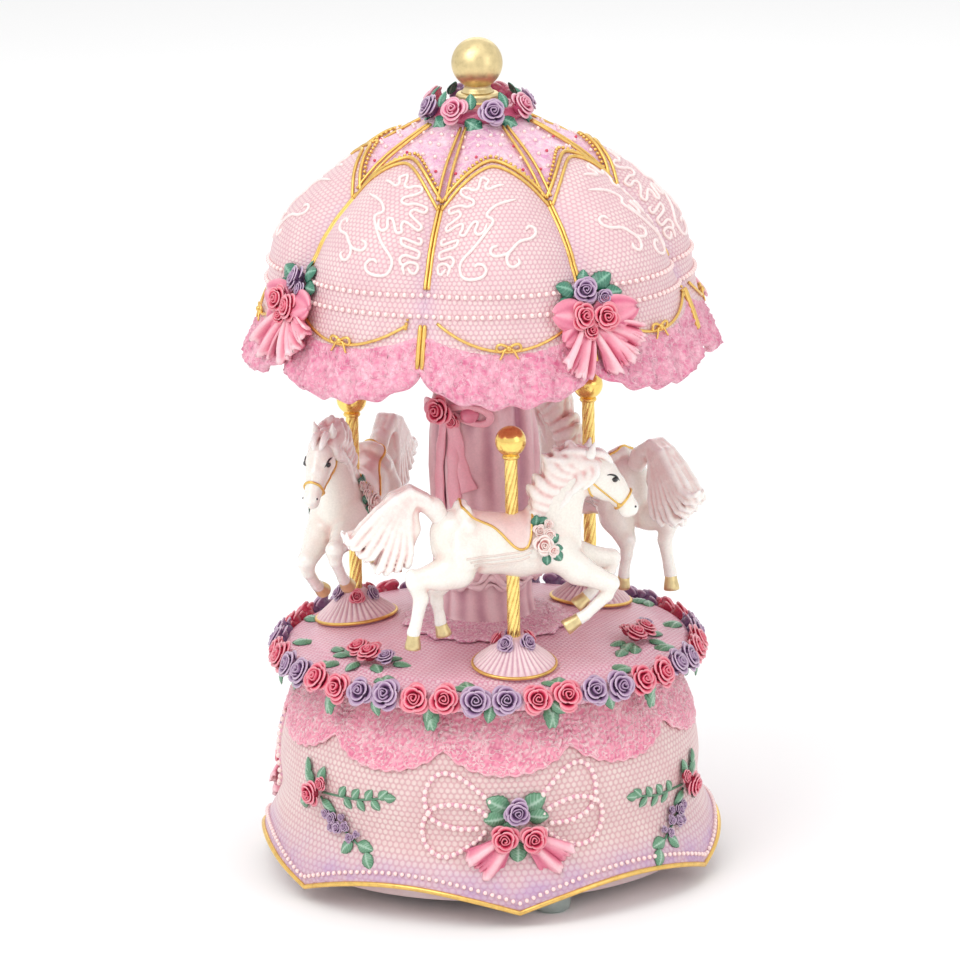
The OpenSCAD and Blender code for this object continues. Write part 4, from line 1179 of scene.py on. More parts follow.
def turntable():
    """The platform: a shallow cone with a step down to its outer band."""
    low = TABLE_BOTTOM
    ring = [(2.05, 52.8), (43.5, 52.8), (43.5, low), (47.2, low), (TABLE_R, low + 0.9),
            (TABLE_R, TABLE_RIM_Z - 0.9),
            (47.0, TABLE_RIM_Z - 0.35), (42.6, table_z(42.6) - 0.5), (42.1, table_z(42.1)), (40, table_z(40)),
            (30, table_z(30)), (20, table_z(20)), (12, TABLE_TOP), (2.05, TABLE_TOP)]
    return Shape().add(turned(ring, 200), 0.15)


def rose_garland():
    """Pairs of red and lilac roses round the platform's edge, with leaves under and behind them."""
    parts = shapes("red", "lilac", "leaf")
    rng = np.random.default_rng(8)
    step = 360 / GARLAND_ROSES
    for k in range(GARLAND_ROSES):
        angle = GARLAND_START + step * k
        tilt = math.radians(26 + rng.uniform(-6, 6))
        normal = polar(math.cos(tilt), angle + rng.uniform(-3, 3), math.sin(tilt))
        spot = polar(GARLAND_R, angle, GARLAND_Z + rng.uniform(-0.3, 0.3))
        set_on(parts["lilac" if k % 4 < 2 else "red"], ROSES[k % 4], spot, normal, rng.uniform(3.35, 3.6),
               rng.uniform(0, 360))
        if k % 4 in (2, 3):
            lean = 1 if k % 4 == 2 else -1
            set_on(parts["leaf"], LEAF, polar(49.0, angle + 0.4 * step * lean, 51.4), polar(1, angle, 0.35), 5.4,
                   270 + 16 * lean)
        if k % 4 in (0, 2):
            set_on(parts["leaf"], LEAF, polar(50.4, angle + 0.5 * step, 52.6), polar(1, angle, 0.1), 4.2,
                   258 + 30 * (k % 3))
    for k in range(14):
        angle = -38 + 25.7 * k
        spot = polar(46.6, angle, float(table_z(46.6)))
        set_on(parts["leaf"], LEAF, spot, table_normal(angle), 5.6, 90 + rng.uniform(-35, 35),
               up=polar(-1, angle, 0))
        set_on(parts["leaf"], LEAF, spot, table_normal(angle), 4.4, 90 + rng.uniform(30, 70),
               up=polar(-1, angle, 0))
    return parts


SPRIG_R = 38.0


def platform_sprigs():
    """A sprig of red and lilac roses between each two horses."""
    parts = shapes("red", "lilac", "leaf")
    for k in range(HORSES):
        angle = HORSE_TURN + HORSE_STEP * (k + 0.5)

        def lay(name, template, x, back, size, spin, lift):
            at, r = angle + math.degrees(x / SPRIG_R), SPRIG_R - back
            spot = polar(r, at, float(table_z(r)) + lift)
            set_on(parts[name], template, spot, table_normal(at) + polar(0.35, at, 0) * (lift > 1), size, spin,
                   up=polar(-1, at, 0))

        lay("red", ROSES[0], -2.4, 0.4, 2.7, 10, 1.5)
        lay("red", ROSES[1], 2.4, -0.4, 2.8, 60, 1.5)
        lay("red", ROSES[3], 0.2, 3.0, 2.0, 60, 1.3)
        lay("lilac", ROSES[2], 7.0, 0.2, 2.2, 120, 1.3)
        for x, back, spin, size in ((-4, 0, 180, 5.6), (-5, -1, 205, 4.8), (4.6, -1.6, 330, 4.6), (8.2, 1, 20, 4.6),
                                    (-4, 2, 150, 4.4), (0.5, -2.4, 275, 4.6), (5, 2, 60, 4.2),
                                    (-9, -0.5, 190, 4.6)):
            lay("leaf", LEAF, x, back, size, spin, 0.55)
    return parts


def column_ruffle():
    """The lace that lies round the column's foot."""
    columns, rows = 288, 20
    degrees = all_round(columns)
    t = np.linspace(0, 1, rows)
    edge = 19.8 + 0.7 * np.cos(np.radians(degrees) * 16) + 0.25 * np.cos(np.radians(degrees) * 41)
    r = 10.0 + (edge[:, None] - 10.0) * t[None]
    folds = crumple(np.radians(degrees)[:, None] * 15 * 1.3 + 0 * r, r * 1.3)
    z = table_z(r) + 0.7 + 1.3 * (1 - t[None]) ** 2 + 0.45 * folds * np.sin(np.pi * t)[None]
    points = polar(r, degrees[:, None], z)
    # Tint: painted shade in the hollows of the folds and a painted highlight on their crests.
    return Shape().add(slab(points, 0.9, wrap_u=True), two_sided(0.35 + 0.55 * folds))


def drape(degrees, z):
    """Radius of the draped cloth, and how deep in a fold it is."""
    base = np.interp(z, [69, 70.5, 72, 74, 77, 83, 90, 98, 106, 113, 117, 120, 124, 130, 140],
                     [10.6, 11.6, 12.3, 12.4, 12.1, 12.0, 12.5, 12.9, 12.7, 12.0, 11.2, 11.6, 12.0, 11.6, 11.9])
    t = np.radians(degrees)
    sway = 0.35 * np.sin(z * 0.055) + 0.12 * np.sin(z * 0.16)
    wave = (0.55 * np.cos(7 * (t + sway)) + 0.35 * np.cos(11 * (t - 0.6 * sway) + 1.3)
            + 0.25 * np.cos(17 * t + 0.09 * z) + 0.15 * np.cos(3 * t + 0.4))
    wave = np.where(wave < 0, wave * 1.25, wave * 0.75)
    depth = np.interp(z, [69, 74, 90, 108, 117, 124, 140], [0.5, 0.8, 1.1, 0.9, 0.55, 0.9, 0.7])
    tuck = 0.3 * np.sin(z * 1.4 + 2 * np.sin(3 * t)) * np.exp(-((z - 117.5) / 3.5) ** 2)
    return base + depth * wave + tuck, wave


def column():
    """Draped cloth gathered near its top, over a fluted foot, with a crumpled hem."""
    columns = 260
    degrees = all_round(columns)
    low_z = np.linspace(TABLE_TOP - 0.3, 72.5, 30)
    t = np.radians(degrees)[:, None]
    foot = np.interp(low_z, [59, 60, 62, 66, 73], [13.2, 12.6, 11.3, 10.7, 10.6])[None]
    flute = 0.22 * np.cos(14 * t + 0.5 * np.sin(low_z * 0.3)[None]) + 0.12 * np.sin(5 * t + 0.3 * low_z[None])
    lower = polar(foot + flute, degrees[:, None], low_z[None])
    high = np.linspace(0, 1, 120)
    hem = 70.6 + 1.1 * np.cos(8 * t[:, 0] + 0.6) * np.cos(3 * t[:, 0]) + 0.4 * np.cos(15 * t[:, 0])
    z = hem[:, None] + (COLUMN_TOP - hem[:, None]) * high[None]
    r, wave = drape(degrees[:, None], z)
    upper = polar(r, degrees[:, None], z)
    under = polar(np.full(columns, 10.0), degrees, hem + 1.0)[:, None]
    core = polar(1.0, degrees, COLUMN_TOP)[:, None]
    foot_core = polar(1.0, degrees, 72.0)[:, None]
    shape = Shape()
    bottom = polar(1.0, degrees, TABLE_TOP - 0.3)[:, None]
    # The foot's tint is painted shade in the grooves between the flutes.
    shape.ring(np.concatenate([bottom, lower, foot_core], 1),
               np.concatenate([0 * t + 0.3, 0.42 + 0.9 * flute, 0 * t + 0.3], 1))
    # The drape's shade is painted shade in the hollows of the folds and a lighter tone on their crests.
    shade = np.clip(0.48 + 0.38 * wave, 0, 1)
    shape.ring(np.concatenate([core, foot_core, under, upper], 1),
               np.concatenate([np.full((columns, 3), 0.3), shade], 1))
    for lift, size, height in ((0.55, 0.75, 0.4), (0.75, 0.6, 1.6), (0.35, 0.5, -0.7)):
        swirl = hem + height + 0.5 * np.sin(t[:, 0] * 9 + height)
        radius = drape(degrees, swirl + 1.5)[0] + lift - 0.6
        shape.add(tube(polar(radius, degrees, swirl), size * (1 + 0.35 * np.sin(t[:, 0] * 23 + height * 3)), 8,
                       True), 0.75)
    return shape


COLUMN_R = 12.6
COLUMN_BOW_Z = 113


def column_bow():
    parts = shapes("red", "ribbon")

    def spot(x, up, lift):
        at = BOW_TURN + np.degrees(np.asarray(x, float) / COLUMN_R)
        return polar(COLUMN_R + lift, at, COLUMN_BOW_Z + np.asarray(up, float))

    set_on(parts["red"], ROSES[1], spot(0, 0.4, 1.7), polar(1, BOW_TURN, 0.1), 3.4, 30)
    set_on(parts["red"], ROSES[2], spot(2.4, -1.4, 1.3), polar(1, BOW_TURN + 9, -0.2), 2.0, 30)
    for side, reach in ((-1, 7.6), (1, 9.4)):
        t = np.linspace(0, 2 * math.pi, 40, endpoint=False)
        x = side * (1.2 + reach / 2 * (1 - np.cos(t)))
        up = 0.4 - 0.16 * reach * (1 - np.cos(t)) * 0.5 + 2.5 * np.sin(t) * (0.55 + 0.45 * (1 - np.cos(t)) / 2)
        path = spot(x, up, 1.0 + 0.5 * np.sin(t))
        outward = polar(1, BOW_TURN + np.degrees(x / COLUMN_R), 0)
        wide = 1.7 + 0.3 * np.cos(2 * t)
        parts["ribbon"].add(tube(path, wide / 2, 12, True, 0.5, up=outward), 0.75)
        centre = spot(side * (1.2 + reach / 2), 0.4 - 0.08 * reach, 0.5)
        parts["ribbon"].add(bead(centre, 2.3, 8, 14, 0.9), 0.35)
    for side, lean, reach in ((-1, -2.6, 24), (1, 1.6, 27), (1, 4.4, 19)):
        t = np.linspace(0, 1, 34)
        x = side * 0.8 + lean * t ** 0.8 + 0.5 * np.sin(t * 7)
        path = spot(x, -reach * t, 0.55 + 0.35 * np.sin(t * 6))
        outward = polar(1, BOW_TURN + np.degrees(x / COLUMN_R), 0)
        parts["ribbon"].add(tube(path, (1.2 + 0.9 * t + 0.15 * np.sin(t * 20)), 12, flat=0.32, up=outward), 0.7)
    return parts


# ---------------------------------------------------------------- pedestals, poles and balls

def stand(shape, k):
    """A copy of a shape made round the pole's line, put at horse k's place."""
    turn = turn_z(HORSE_TURN + HORSE_STEP * k)
    return shape.moved(lambda points: (points + [0, -POLE_CIRCLE_R, 0]) @ turn.T)


FOOT_Z = float(TABLE_TOP - SLOPE * (POLE_CIRCLE_R - TABLE_FLAT_R))


def pedestal():
    """A pleated cone at the foot of a pole, its gold rim, and its roses and leaves."""
    columns = 252
    degrees = all_round(columns)
    profile = smooth_line([(0.2, 7.3), (1.7, 7.3), (2.8, 6.9), (3.9, 5.9), (5.4, 4.4), (7.2, 2.9), (8.9, 1.6),
                           (9.7, 0.9)], 44)
    pleat = np.abs(np.cos(np.radians(degrees) * 18))[:, None] ** 0.8 - 0.5
    share = ease(profile[:, 0], 2.2, 6)[None] * (1 - 0.5 * ease(profile[:, 0], 8.6, 9.7))[None]
    r = profile[None, :, 0] + 0 * pleat
    z = profile[None, :, 1] + 0.65 * pleat * share
    low = polar(9.6, degrees, 0.05)[:, None]
    core = polar(0.2, degrees, 0.05)[:, None]
    ring = np.concatenate([polar(r, degrees[:, None], z), low, core], 1)
    # Tint: painted shade in the valleys between the pleats and a lighter tone on their crests.
    tint = np.concatenate([np.clip(0.5 + 0.9 * pleat * share, 0, 1), np.full((columns, 2), 0.3)], 1)
    tilt = turn_x(math.degrees(math.atan(SLOPE)))
    body, rim, flowers = Shape(), Shape(), shapes("lilac", "red", "leaf")
    body.ring(ring @ tilt.T + [0, 0, FOOT_Z], tint)
    circle = polar(9.75, degrees, 0.72) @ tilt.T + [0, 0, FOOT_Z]
    rim.add(tube(circle, 0.42, 8, True), 0.6)
    for x, y, z, size, name in ((-2.1, -2.9, 5.9, 2.0, "lilac"), (2.1, -2.9, 5.9, 2.0, "lilac"),
                                (3.4, 1.4, 5.8, 1.8, "red"), (-3.2, 1.8, 5.8, 1.8, "red"),
                                (0.2, 3.6, 5.8, 1.9, "lilac")):
        set_on(flowers[name], ROSES[int(size * 10 + z) % 4], (x, y, FOOT_Z + z), (x, y, 2.2), size, x * 50)
    for x, y in ((-4.2, -2.0), (4.2, -2.0), (0.1, -4.2), (2.6, 4.0), (-2.6, 4.0)):
        out = np.array([x, y, 0]) / math.hypot(x, y)
        set_on(flowers["leaf"], LEAF, (0.62 * x, 0.62 * y, FOOT_Z + 5.8), out * 0.8 + [0, 0, 0.75], 4.0, 270)
    return body, rim, flowers


def pole():
    """A twisted pole with eight lobes."""
    z = np.arange(FOOT_Z + 1.9, BALL_Z - 0.5, 0.22)
    degrees = all_round(60)
    turn = degrees[None] - 13.0 * z[:, None]
    lobe = np.abs(np.cos(np.radians(turn) * 4))
    r = POLE_R * (0.9 + 0.13 * lobe ** 0.7)
    points = polar(r, degrees[None], z[:, None])
    ends = [np.arange(60)[None], np.arange(60)[None] + 60 * (len(z) - 1)]
    # Tint: painted shade in the grooves of the twist and a lighter tone on its lobes.
    return Shape().add((points.reshape(-1, 3), [quads(len(z), 60, False, True), *ends]), 0.05 + 0.75 * lobe ** 0.7)


def pole_ball():
    shape = Shape().add(bead((0, 0, BALL_Z), BALL_R + 0.12, 22, 36), 0.6)
    return shape.add(turned([(0.8, BALL_Z - 4.1), (1.9, BALL_Z - 4.1), (2.1, BALL_Z - 3.7), (1.8, BALL_Z - 3.0),
                             (0.8, BALL_Z - 3.0)], 32), 0.4)


# ---------------------------------------------------------------- horses
# Local millimetres: x forward from the pole, y to the horse's left, z up from the middle of its body.

SKIN_SOFTENED = 2


class Clay:
    """A solid held as distances on a grid, built from tapering rods that melt together."""

    def __init__(self, low, high, step):
        self.low, self.step = np.array(low, float), step
        self.axes = [np.arange(a, b + step, step) for a, b in zip(low, high)]
        self.d = np.full([len(a) for a in self.axes], 9.0)

    def chain(self, balls, melt, thin=1.0):
        """Rods between successive balls (x, y, z, radius). thin narrows them from side to side."""
        for first, last in zip(balls, balls[1:]):
            a, b = np.array(first, float), np.array(last, float)
            reach = max(a[3], b[3]) + melt + 1.5
            cut = []
            for k in range(3):
                lo, hi = min(a[k], b[k]) - reach, max(a[k], b[k]) + reach
                cut.append(slice(*np.searchsorted(self.axes[k], (lo, hi))))
            x, y, z = np.meshgrid(*(axis[c] for axis, c in zip(self.axes, cut)), indexing="ij", sparse=True)
            line = b[:3] - a[:3]
            line[1] /= thin
            px, py, pz = x - a[0], (y - a[1]) / thin, z - a[2]
            t = np.clip((px * line[0] + py * line[1] + pz * line[2]) / max(line @ line, 1e-9), 0, 1)
            away = np.sqrt((px - t * line[0]) ** 2 + (py - t * line[1]) ** 2 + (pz - t * line[2]) ** 2)
            new = away - (a[3] + (b[3] - a[3]) * t)
            old = self.d[tuple(cut)]
            h = np.clip(0.5 + 0.5 * (old - new) / melt, 0, 1)
            self.d[tuple(cut)] = old + (new - old) * h - melt * h * (1 - h)
        return self

    def raise_patch(self, outline, height):
        """Lifts the surface inside an outline seen from the side."""
        x, z = np.meshgrid(self.axes[0], self.axes[2], indexing="ij")
        self.d -= height * ease(-outline_distance(outline, x, z), -0.35, 0.35)[:, None, :]
        return self

    def at(self, points):
        """Distance at points, by mixing the eight nearest grid values."""
        g = (np.asarray(points, float) - self.low) / self.step
        i = np.clip(np.floor(g).astype(int), 0, np.array(self.d.shape) - 2)
        f = g - i
        total = 0
        for dx in (0, 1):
            for dy in (0, 1):
                for dz in (0, 1):
                    share = (np.where(dx, f[..., 0], 1 - f[..., 0]) * np.where(dy, f[..., 1], 1 - f[..., 1])
                             * np.where(dz, f[..., 2], 1 - f[..., 2]))
                    total = total + share * self.d[i[..., 0] + dx, i[..., 1] + dy, i[..., 2] + dz]
        return total

    def skin(self):
        """The surface as quads: one vertex for each grid cell that the surface crosses."""
        n = np.array(self.d.shape) - 1
        total, count = np.zeros((*n, 3)), np.zeros(tuple(n))
        crossed = []
        for axis in range(3):
            a = self.d.take(range(0, n[axis]), axis)
            b = self.d.take(range(1, n[axis] + 1), axis)
            cross = (a < 0) != (b < 0)
            t = np.where(cross, a / np.where(cross, a - b, 1), 0)
            crossed.append(cross)
            others = [k for k in range(3) if k != axis]
            for p in (0, 1):
                for q in (0, 1):
                    cut = [slice(None)] * 3
                    cut[others[0]], cut[others[1]] = slice(p, p + n[others[0]]), slice(q, q + n[others[1]])
                    c = cross[tuple(cut)]
                    count += c
                    total[..., axis] += t[tuple(cut)] * c
                    total[..., others[0]] += p * c
                    total[..., others[1]] += q * c
        full = count > 0
        number = np.full(tuple(n), -1)
        number[full] = np.arange(full.sum())
        points = (np.argwhere(full) + total[full] / count[full][:, None]) * self.step + self.low
        faces = []
        for axis, cross in enumerate(crossed):
            others = [k for k in range(3) if k != axis]
            cut = [slice(None)] * 3
            cut[others[0]], cut[others[1]] = slice(1, -1), slice(1, -1)
            spot = np.argwhere(cross[tuple(cut)])
            spot[:, others] += 1
            corners = []
            for p, q in ((1, 1), (0, 1), (0, 0), (1, 0)):
                cell = spot.copy()
                cell[:, others[0]] -= p
                cell[:, others[1]] -= q
                corners.append(number[tuple(cell.T)])
            faces.append(np.stack(corners, -1))
        faces = np.concatenate(faces)
        for _ in range(SKIN_SOFTENED):
            total, count = np.zeros_like(points), np.zeros(len(points))
            for k in range(4):
                np.add.at(total, faces[:, k], points[faces[:, (k + 1) % 4]] + points[faces[:, (k + 3) % 4]])
                np.add.at(count, faces[:, k], 2)
            points = 0.5 * points + 0.5 * total / count[:, None]
        return points, [faces]

    def shade(self, points, far=1.1, strength=0.55):
        """A tint of painted shade, low in creases, and of painted highlight, high on ridges."""
        reach = np.array([[x, y, z] for x in (-far, 0, far) for y in (-far, 0, far) for z in (-far, 0, far)])
        mean = sum(self.at(points + r) for r in reach) / len(reach)
        return np.clip(0.62 + strength * (mean - 0.12) / far * 2.2, 0, 1)


def outline_distance(outline, x, z):
    """Distance to a closed outline, negative inside."""
    p = np.asarray(outline, float)
    best, inside = np.full(x.shape, 1e9), np.zeros(x.shape, bool)
    for a, b in zip(p, np.roll(p, -1, 0)):
        t = np.clip(((x - a[0]) * (b[0] - a[0]) + (z - a[1]) * (b[1] - a[1])) / max(np.sum((b - a) ** 2), 1e-9), 0,
                    1)
        best = np.minimum(best, np.hypot(x - a[0] - t * (b[0] - a[0]), z - a[1] - t * (b[1] - a[1])))
        if a[1] != b[1]:
            inside ^= ((a[1] > z) != (b[1] > z)) & (x < (b[0] - a[0]) * (z - a[1]) / (b[1] - a[1]) + a[0])
    return np.where(inside, -best, best)


# Outlines of the seat and the saddle cloth, seen from the side.
SEAT = [(-12.2, 10.4), (-11.0, 8.4), (-9.5, 6.8), (-5.6, 5.0), (-3.6, 3.3), (-2.2, 1.7), (-0.6, 0.1), (1.0, -0.5),
        (2.6, 0.3), (3.5, 2.9), (3.9, 5.0), (4.3, 6.9), (5, 10), (-9, 13)]
CLOTH = [(-14.4, 3.6), (-12.0, 6.4), (-9.5, 6.8), (-5.6, 5.0), (-3.6, 3.3), (-2.2, 1.7), (-0.6, 0.1), (1.0, -0.5),
         (2.6, 0.3), (4.6, 0.4), (5.4, -1.2), (4.6, -2.6), (0, -3.6), (-6, -4.4), (-12, -4.6), (-14.4, -3.6),
         (-15.2, -0.4)]


# Which side each limb is on, how its rods melt together, and balls (x, y away from the middle, z, radius).
NEAR, FAR = -1, 1
LIMBS = [
    (NEAR, 1.4, [(9.6, 3.2, -2.6, 4.4), (14.6, 3.6, -7.0, 3.4), (22.0, 4, -10.8, 2.2)]),
    (NEAR, 0.6, [(22.3, 4, -10.9, 2.2), (21.4, 4, -13.6, 1.55), (16.4, 4, -18.0, 1.25), (15.0, 4, -18.8, 1.55)]),
    (FAR, 1.4, [(10.4, 3.2, -2.4, 4.2), (17.0, 3.6, -5.8, 3.0), (24.2, 4, -7.0, 2.1)]),
    (FAR, 0.6, [(24.4, 4, -7.0, 2.15), (23.9, 4, -9.8, 1.45), (19.6, 4, -14.8, 1.2), (18.4, 4, -15.8, 1.5)]),
    (NEAR, 1.4, [(-12.6, 2.6, -1.2, 5.0), (-14.0, 3.2, -5.2, 4.3), (-17.6, 3.6, -6.2, 3.4), (-23.4, 4, -6.8, 2.4)]),
    (NEAR, 0.6, [(-24.6, 4, -5.6, 1.5), (-23.6, 4, -7.4, 2.3), (-22.5, 4, -11.4, 1.75), (-23.8, 4, -17.4, 1.35),
                 (-24.4, 4, -19.4, 1.65)]),
    (FAR, 1.4, [(-11.8, 2.6, -1.6, 5.0), (-13.4, 3.2, -6.0, 4.0), (-17.0, 3.6, -11.0, 2.4)]),
    (FAR, 0.6, [(-18.0, 3.8, -10.6, 1.8), (-17.4, 3.8, -14.4, 1.5), (-16.7, 4, -18.4, 1.25),
                (-16.6, 4, -19.8, 1.5)]),
]


def horse_clay():
    """Body, neck, head, ears, limbs and saddle, and the raised cloth and seat."""
    clay = Clay((-28, -9.5, -26), (32, 9.5, 25), 0.4)
    clay.chain([(-12.6, 0, 1.6, 6.6), (-6, 0, -0.4, 6.8), (2, 0, -1.2, 7.2), (8.6, 0, -1.2, 6.8),
                (10.8, 0, -1.4, 5.4)], 1.5, 0.84)
    clay.chain([(-13.6, 0, -1.0, 5.2), (-13.2, 0, 2.6, 5.8)], 1.5, 0.84)
    clay.chain([(9.2, 0, 0, 6.4), (10.4, 0, 4.5, 5.6), (11.8, 0, 9, 4.8), (14.0, 0, 13.2, 4.1),
                (16.8, 0, 16.0, 3.2)], 2.0, 0.74)
    clay.chain([(18.6, 0, 17.2, 2.7), (21.2, 0, 14.4, 3.8), (24.0, 0, 11.2, 3.1), (26.2, 0, 8.4, 2.35),
                (27.8, 0, 6.2, 2.1)], 1.4, 0.8)
    clay.chain([(20.0, 0, 12.2, 3.2), (22.0, 0, 10.6, 2.4)], 1.2, 0.9)
    clay.chain([(28.0, 0, 6.0, 2.0), (27.2, 0, 5.4, 1.8)], 0.8, 0.85)
    for side in (-1, 1):
        clay.chain([(17.6, 1.4 * side, 17.8, 1.4), (18.5, 2.1 * side, 20.2, 1.2), (19.4, 2.4 * side, 22.9, 0.3)],
                   0.7, 0.75)
        clay.chain([(24.2, 1.9 * side, 14.1, 0.95), (22.8, 2.1 * side, 14.8, 0.9)], 0.8)
        clay.chain([(28.9, 1.1 * side, 6.3, 0.75), (28.6, 1.25 * side, 7.1, 0.6)], 0.5)
    for side, melt, balls in LIMBS:
        clay.chain([(x, y * side, z, r) for x, y, z, r in balls], melt)
    clay.chain([(-10.9, -4.4, 5.2, 1.1), (-11.8, -2.4, 8.2, 1.3), (-12.3, 0, 9.0, 1.4), (-11.8, 2.4, 8.2, 1.3),
                (-10.9, 4.4, 5.2, 1.1)], 0.8)
    clay.chain([(4.8, -2.6, 5.2, 1.3), (5.2, 0, 6.4, 1.5), (4.8, 2.6, 5.2, 1.3)], 0.9)
    clay.raise_patch(CLOTH, 0.3).raise_patch(SEAT, 0.5)
    return clay


def locks(clay, paths, melt=0.3):
    """Tapering strands. Each path is (points, thickest radius)."""
    for points, radius in paths:
        line = smooth_line([p[:3] for p in points], 9)
        t = np.linspace(0, 1, 9)
        size = radius * np.interp(t, [0, 0.25, 0.75, 1], [0.75, 1.0, 0.8, 0.34])
        clay.chain(np.column_stack([line, size]), melt)
    return clay


def mane():
    clay = Clay((-1, -8, -1), (27, 8, 25), 0.34)
    rng = np.random.default_rng(21)
    crest = smooth_line([(18.4, 0, 19.0), (15.4, 0, 18.4), (12.4, 0, 16.0), (9.8, 0, 12.4), (8.0, 0, 8.4),
                         (6.6, 0, 5.2)], 10)
    clay.chain([(*p, 2.1) for p in crest], 0.8)
    paths = []
    for k, root in enumerate(crest):
        back = np.interp(k, [0, 3, 6, 9], [4.6, 5.6, 5.0, 2.6]) * (1.0, 0.72, 0.9)[k % 3]
        rise = np.interp(k, [0, 3, 6, 9], [3.6, 3.4, 2.0, 0.2])
        for side in (-1, 0, 1):
            jig = rng.uniform(-0.7, 0.7)
            start = root + (2.4, 1.2 * side, -2.2)
            middle = root + (-0.5 * back, 2.0 * side + 0.3 * jig, -0.9 + 0.4 * (side == 0))
            tip = root + (-back + 0.6 * jig, 1.2 * side + 0.4 * jig, rise - 0.9 * abs(side) + jig)
            paths.append(([start, middle, tip], 1.8))
    for k in range(6):
        for side in (-1, 1):
            root = crest[1 + k + k // 3]
            drop = np.array([2.8 - 0.2 * k, 3.0 * side, -3.0])
            end = root + drop + (-3.6 + rng.uniform(-1, 1), 0.3 * side, -3.2 + rng.uniform(-1, 1))
            paths.append(([root + (1.6, 1.6 * side, -0.2), root + drop, end], 1.15))
    for side in (-1, 1):
        paths.append(([(18.6, 0.8 * side, 19.8), (21.6, 1.2 * side, 19.4), (24.0, 0.8 * side, 16.8)], 1.0))
        paths.append(([(18.4, 1.0 * side, 19.6), (15.0, 1.7 * side, 20.6), (11.6, 1.5 * side, 20.8)], 1.3))
        paths.append(([(17.6, 1.4 * side, 18.6), (13.2, 2.4 * side, 18.6), (8.8, 2.0 * side, 19.6)], 1.2))
    return locks(clay, paths)


def tail():
    clay = Clay((-43, -6, -8), (-13, 6, 17), 0.34)
    clay.chain([(-15.6, 0, 4.6, 2.2), (-18.4, 0, 9.2, 2.3), (-22.6, 0, 11.6, 2.1), (-27.4, 0, 10.6, 2.5),
                (-30.0, 0, 6.0, 2.6),
                (-30.2, 0, 1.2, 2.2)], 0.8)
    clay.chain([(-24.0, 0, 10.0, 2.0), (-24.0, 0, 4.4, 2.3), (-25.6, 0, -0.8, 1.9), (-27.4, 0, -3.4, 1.2)], 0.8)
    clay.chain([(-29, 0, 6.4, 2.2), (-33.4, 0, 3.8, 1.9), (-37, 0, 3.2, 1.1)], 0.8)
    rng = np.random.default_rng(4)
    ends = [(-40.6, 4.2), (-39.4, 2.2), (-37.6, 0.4), (-36.0, -1.2), (-33.6, -4.0), (-31.4, -4.8), (-28.8, -4.6),
            (-26.2, -4.0)]
    paths = []
    for k, (x, z) in enumerate(ends):
        for side in (-1, -0.3, 0.4, 1):
            y, jig = 1.9 * side, rng.uniform(-0.6, 0.6)
            inner = k / (len(ends) - 1)
            top = (-22.4 - 0.4 * jig, 0.8 * y, 13.4 - 1.9 * inner)
            bend = (-28.4 + 3.6 * inner + 0.4 * jig, y, 11.6 - 3.4 * inner)
            low = (0.45 * x - 0.55 * 29.4 + 3.6 * inner, 1.1 * y, 0.45 * z + 3.6 - 1.4 * inner + 1.6 * jig)
            out = (0.82 * x - 5.2 + 1.6 * inner, y, 0.85 * z - 0.9 - 1.5 * jig)
            tip = (x + 1.2 * abs(side) + 0.7 * jig, 0.6 * y, z + 0.5)
            paths.append(([(-16.6, 0.6 * y, 7.0), top, bend, low, out, tip], 1.1))
    return locks(clay, paths, 0.25)


LINE_LIFT = 0.1


def side_line(clay, points, side, lift=LINE_LIFT, count=60):
    """A line of (x, z) points laid on one side of the horse."""
    line = smooth_line(points, count)
    y = np.linspace(9, 0, 91)
    at = np.stack([np.repeat(line[:, :1], 91, 1), side * np.tile(y, (count, 1)), np.repeat(line[:, 1:], 91, 1)], -1)
    hit = np.argmax(clay.at(at) < 0, 1)
    return np.column_stack([line[:, 0], side * (y[hit] + lift), line[:, 1]])


def top_line(clay, x, half):
    """A line across the horse's back."""
    y, z = np.meshgrid(np.linspace(-half, half, 24), np.linspace(12, -2, 141), indexing="ij")
    hit = np.argmax(clay.at(np.stack([np.full(y.shape, x), y, z], -1)) < 0, 1)
    return np.column_stack([np.full(24, x), y[:, 0], z[0, hit] + LINE_LIFT])


def ring_line(clay, centre, axis, limit):
    """A closed line round a limb or the head, square to an axis."""
    basis = frame_at(axis, (0, 1, 0))
    t = np.arange(36) * 2 * math.pi / 36
    out = np.cos(t)[:, None] * basis[:, 0] + np.sin(t)[:, None] * basis[:, 1]
    reach = np.linspace(0, limit, 90)
    field = clay.at(np.asarray(centre, float) + out[:, None] * reach[None, :, None])
    hit = np.argmax(field > 0, 1)
    return np.asarray(centre, float) + out * (reach[np.where(hit > 0, hit, 89)] + LINE_LIFT)[:, None]


def hoof(ankle, toe, size):
    """A hoof from the ankle's centre to the middle of its sole."""
    ankle, toe = np.array(ankle, float), np.array(toe, float)
    t = np.array([0, 0.12, 0.3, 0.75, 0.95, 1.0, 1.0])
    radius = size * np.array([0.55, 0.84, 0.86, 1.06, 1.1, 1.0, 0.05])
    path = ankle + (toe - ankle) * (t + np.arange(7) * 1e-4)[:, None]
    return tube(path, radius, 16)


